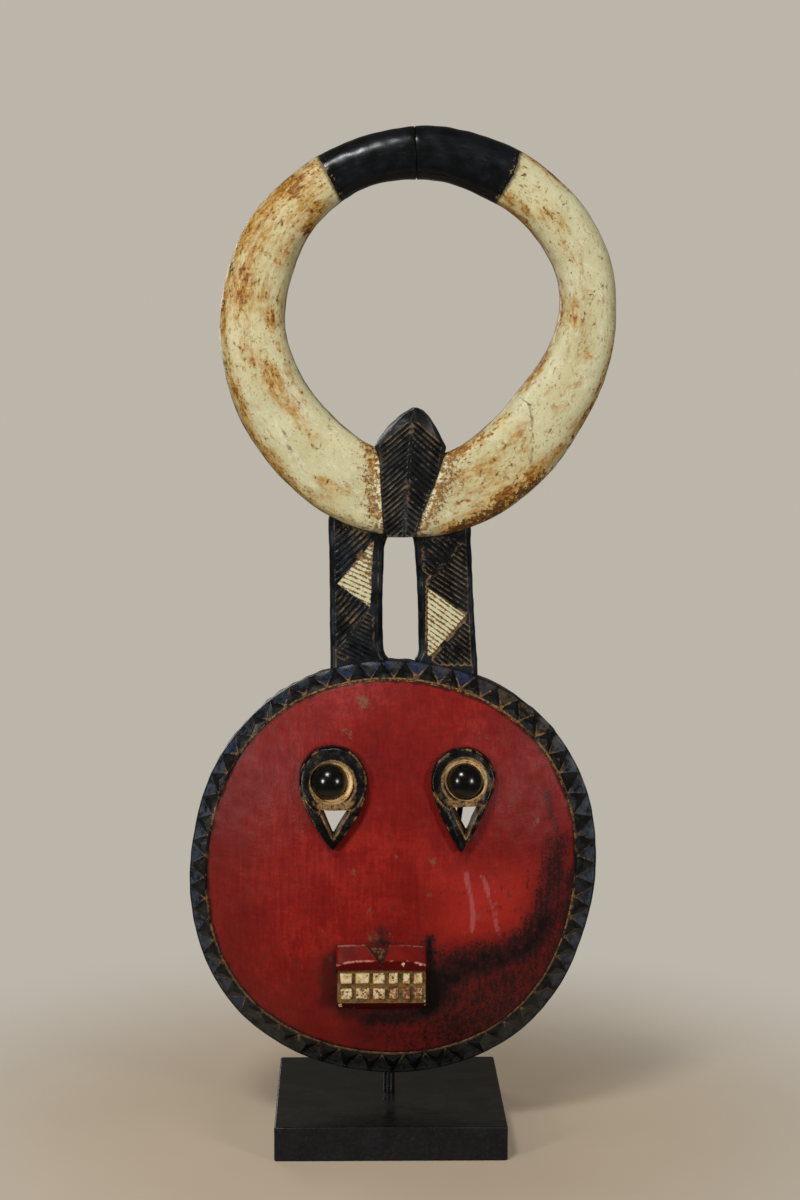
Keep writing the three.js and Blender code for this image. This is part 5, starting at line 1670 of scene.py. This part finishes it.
def make_block():
    """Square block with rounded upright corners and a fine chamfer."""
    e = BLOCK_EDGE
    foot = ((8 * e, 0), (1.6 * e, 0), (e, 0), (0.3 * e, 0.3 * e), (0, e), (0, 1.8 * e))
    head = [(inset, BLOCK_HEIGHT - z) for inset, z in foot[::-1]]
    loops = []
    for inset, z in (*foot, (0, BLOCK_HEIGHT / 2), *head):
        h = BLOCK_SIDE / 2 - inset
        flat = rounded([(h, -h), (h, h), (-h, h), (-h, -h)], (BLOCK_CORNER,) * 4, (24,) * 4, steps=5)
        loops.append(np.insert(flat, 2, z, 1))
    return lofted("block", loops, "side")


# Panel values


def number_value(name, description, default, unit="LENGTH", low=0.0):
    """A number in the panel."""
    return FloatProperty(name=name, description=description, default=default, min=low, unit=unit)


def colour_value(name, description, *screen):
    """A colour in the panel, from its screen values."""
    return FloatVectorProperty(name=name, description=description, default=srgb(*screen)[:3], size=3, min=0,
                               max=1, subtype="COLOR")


class MaskShape(bpy.types.PropertyGroup):
    """Sizes of the carving."""

    field_mesh: number_value("Field mesh", "Spacing of the mesh on the red field", 0.003, low=0.001)
    back_mesh: number_value("Back mesh", "Spacing of the mesh behind the face", 0.0048, low=0.001)
    tooth_rise: number_value("Tooth rise", "Height of the pyramids on the rim", 0.0034)
    recess_depth: number_value("Recess depth", "How far the rim is dished between its teeth", 0.0011)
    groove_width: number_value("Groove width", "Width of the hatching grooves", 0.0031)
    groove_depth: number_value("Groove depth", "Depth of the hatching grooves", 0.0012)
    unevenness: number_value("Unevenness", "How far hand carving strays from the true shape", 0.0005)


class MaskPaint(bpy.types.PropertyGroup):
    """Colours of the paint."""

    red: colour_value("Red", "Main colour of the face", 137, 28, 22)
    red_deep: colour_value("Deep red", "Darker streaks of the face", 104, 15, 13)
    red_light: colour_value("Light red", "Brighter patches of the face", 168, 43, 33)
    cream: colour_value("Cream", "Main colour of the horns", 211, 204, 162)
    floor: colour_value("Floor", "Plain floor under the part", 214, 194, 168)


class MaskStage(bpy.types.PropertyGroup):
    """Light round the part."""

    backdrop: number_value("Backdrop", "Brightness of the room as seen", 0.5, "NONE")
    ambient: number_value("Ambient", "Light that the room itself gives", 0.1, "NONE")
    side_light: number_value("Side light", "Power of each soft box", 27, "POWER")
    top_light: number_value("Top light", "Power of the light above", 28, "POWER")
    back_light: number_value("Back light", "Power of the soft box behind", 15, "POWER")


# Operators


class DISC_MASK_OT_carve(bpy.types.Operator):
    """Carve the mask as one closed skin and paint it"""

    bl_idname = "disc_mask.carve"
    bl_label = "Carve the mask"

    def execute(self, context):
        shape = context.scene.mask_shape
        body = merge_mask(shape)
        body.name = body.data.name = "carved_mask"
        tidy_mesh(body.data)
        paint_ready(body.data, shape.unevenness)
        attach(body, "root")
        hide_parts("mask")
        return {"FINISHED"}


class DISC_MASK_OT_eyes(bpy.types.Operator):
    """Set the two lacquered eyes in their sockets"""

    bl_idname = "disc_mask.eyes"
    bl_label = "Set the eyes"

    def execute(self, context):
        gloss = ball_gloss()
        for eye in EYES:
            made = plain_piece(make_ball(eye), eye["node"] + "_ball", [gloss], BALL_EDGE)
            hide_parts(eye["node"])
        return {"FINISHED"}


class DISC_MASK_OT_stand(bpy.types.Operator):
    """Make the block and the forked rod that holds the mask"""

    bl_idname = "disc_mask.stand"
    bl_label = "Make the stand"

    def execute(self, context):
        rod = plain_piece(make_fork(), "forked_rod", [rod_paint()], ROD_EDGE)
        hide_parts("stand_rod")
        stones = [stone("polished_stone", False), stone("honed_stone", True)]
        block = plain_piece(make_block(), "stone_block", stones, BLOCK_EDGE_ANGLE)
        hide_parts("stand_base")
        return {"FINISHED"}


def add_floor():
    """A wide square under the part."""
    reach = FLOOR_REACH
    mesh = bpy.data.meshes.new("floor")
    mesh.from_pydata([(-reach, -reach, 0), (reach, -reach, 0), (reach, reach, 0), (-reach, reach, 0)], [],
                     [(0, 1, 2, 3)])
    mesh.materials.append(pale_floor())
    made = bpy.data.objects.new("floor", mesh)
    bpy.context.scene.collection.objects.link(made)


def plain_room(stage):
    """A pale backdrop for the camera; what it lends the part as light is dimmer."""
    world = bpy.data.worlds.new("plain_room")
    world.use_nodes = True
    tree = world.node_tree
    seen = tree.nodes.new("ShaderNodeLightPath").outputs["Is Camera Ray"]
    strength = tree.nodes.new("ShaderNodeMix")
    strength.inputs[2].default_value, strength.inputs[3].default_value = stage.ambient, stage.backdrop
    tree.links.new(seen, strength.inputs[0])
    background = tree.nodes["Background"]
    background.inputs["Color"].default_value = srgb(255, 247, 232)
    tree.links.new(strength.outputs[0], background.inputs["Strength"])
    return world


def add_light(name, power, size, place, colour):
    """A soft box that faces the middle of the part."""
    data = bpy.data.lights.new(name, "AREA")
    data.shape, data.energy, data.color = "RECTANGLE", power, colour
    data.size, data.size_y = size
    made = bpy.data.objects.new(name, data)
    made.location = place
    made.rotation_euler = (Vector(LIGHTS_AIM) - Vector(place)).to_track_quat("-Z", "Y").to_euler()
    bpy.context.scene.collection.objects.link(made)


def add_camera():
    """The camera as it stood when the part was photographed."""
    yaw, pitch, roll = (math.radians(v) for v in (CAMERA_YAW, CAMERA_PITCH, CAMERA_ROLL))
    ahead = Vector((math.sin(yaw) * math.cos(pitch), math.cos(yaw) * math.cos(pitch), -math.sin(pitch)))
    right = Vector((math.cos(yaw), -math.sin(yaw), 0))
    up = right.cross(ahead)
    side = math.cos(roll) * right + math.sin(roll) * up
    top = math.cos(roll) * up - math.sin(roll) * right
    camera = bpy.data.objects.new("camera", bpy.data.cameras.new("camera"))
    matrix = Matrix((side, top, -ahead)).transposed().to_4x4()
    matrix.translation = Vector(CAMERA_PLACE)
    camera.matrix_world = matrix
    camera.data.sensor_fit, camera.data.sensor_height, camera.data.lens = "VERTICAL", CAMERA_FILM, CAMERA_LENS
    bpy.context.scene.collection.objects.link(camera)
    bpy.context.scene.camera = camera


class DISC_MASK_OT_stage(bpy.types.Operator):
    """Lay the floor, hang the lights and set the camera"""

    bl_idname = "disc_mask.stage"
    bl_label = "Set the stage"

    def execute(self, context):
        scene = context.scene
        stage = scene.mask_stage
        add_floor()
        scene.world = plain_room(stage)
        for name, value, share, size, place, colour in LIGHTS:
            add_light(name, getattr(stage, value) * share, size, place, colour)
        add_camera()
        scene.view_settings.view_transform = "Standard"
        return {"FINISHED"}


class DISC_MASK_PT_panel(bpy.types.Panel):
    """Sizes, colours and steps of the mask"""

    bl_label = "Horned disc mask"
    bl_idname = "DISC_MASK_PT_panel"
    bl_space_type, bl_region_type, bl_category = "VIEW_3D", "UI", "Mask"

    def draw(self, context):
        for group in (context.scene.mask_shape, context.scene.mask_paint, context.scene.mask_stage):
            for name in group.__annotations__:
                self.layout.prop(group, name)
        for kind in OPERATORS:
            self.layout.operator(kind.bl_idname)


OPERATORS = (DISC_MASK_OT_carve, DISC_MASK_OT_eyes, DISC_MASK_OT_stand, DISC_MASK_OT_stage)
CLASSES = (MaskShape, MaskPaint, MaskStage, *OPERATORS, DISC_MASK_PT_panel)


def register():
    for kind in CLASSES:
        bpy.utils.register_class(kind)
    bpy.types.Scene.mask_shape = PointerProperty(type=MaskShape)
    bpy.types.Scene.mask_paint = PointerProperty(type=MaskPaint)
    bpy.types.Scene.mask_stage = PointerProperty(type=MaskStage)


def unregister():
    del bpy.types.Scene.mask_shape, bpy.types.Scene.mask_paint, bpy.types.Scene.mask_stage
    for kind in reversed(CLASSES):
        bpy.utils.unregister_class(kind)


def main():
    register()
    bpy.ops.disc_mask.carve()
    bpy.ops.disc_mask.eyes()
    bpy.ops.disc_mask.stand()
    bpy.ops.disc_mask.stage()
    bpy.context.view_layer.update()


if __name__ == "__main__":
    main()
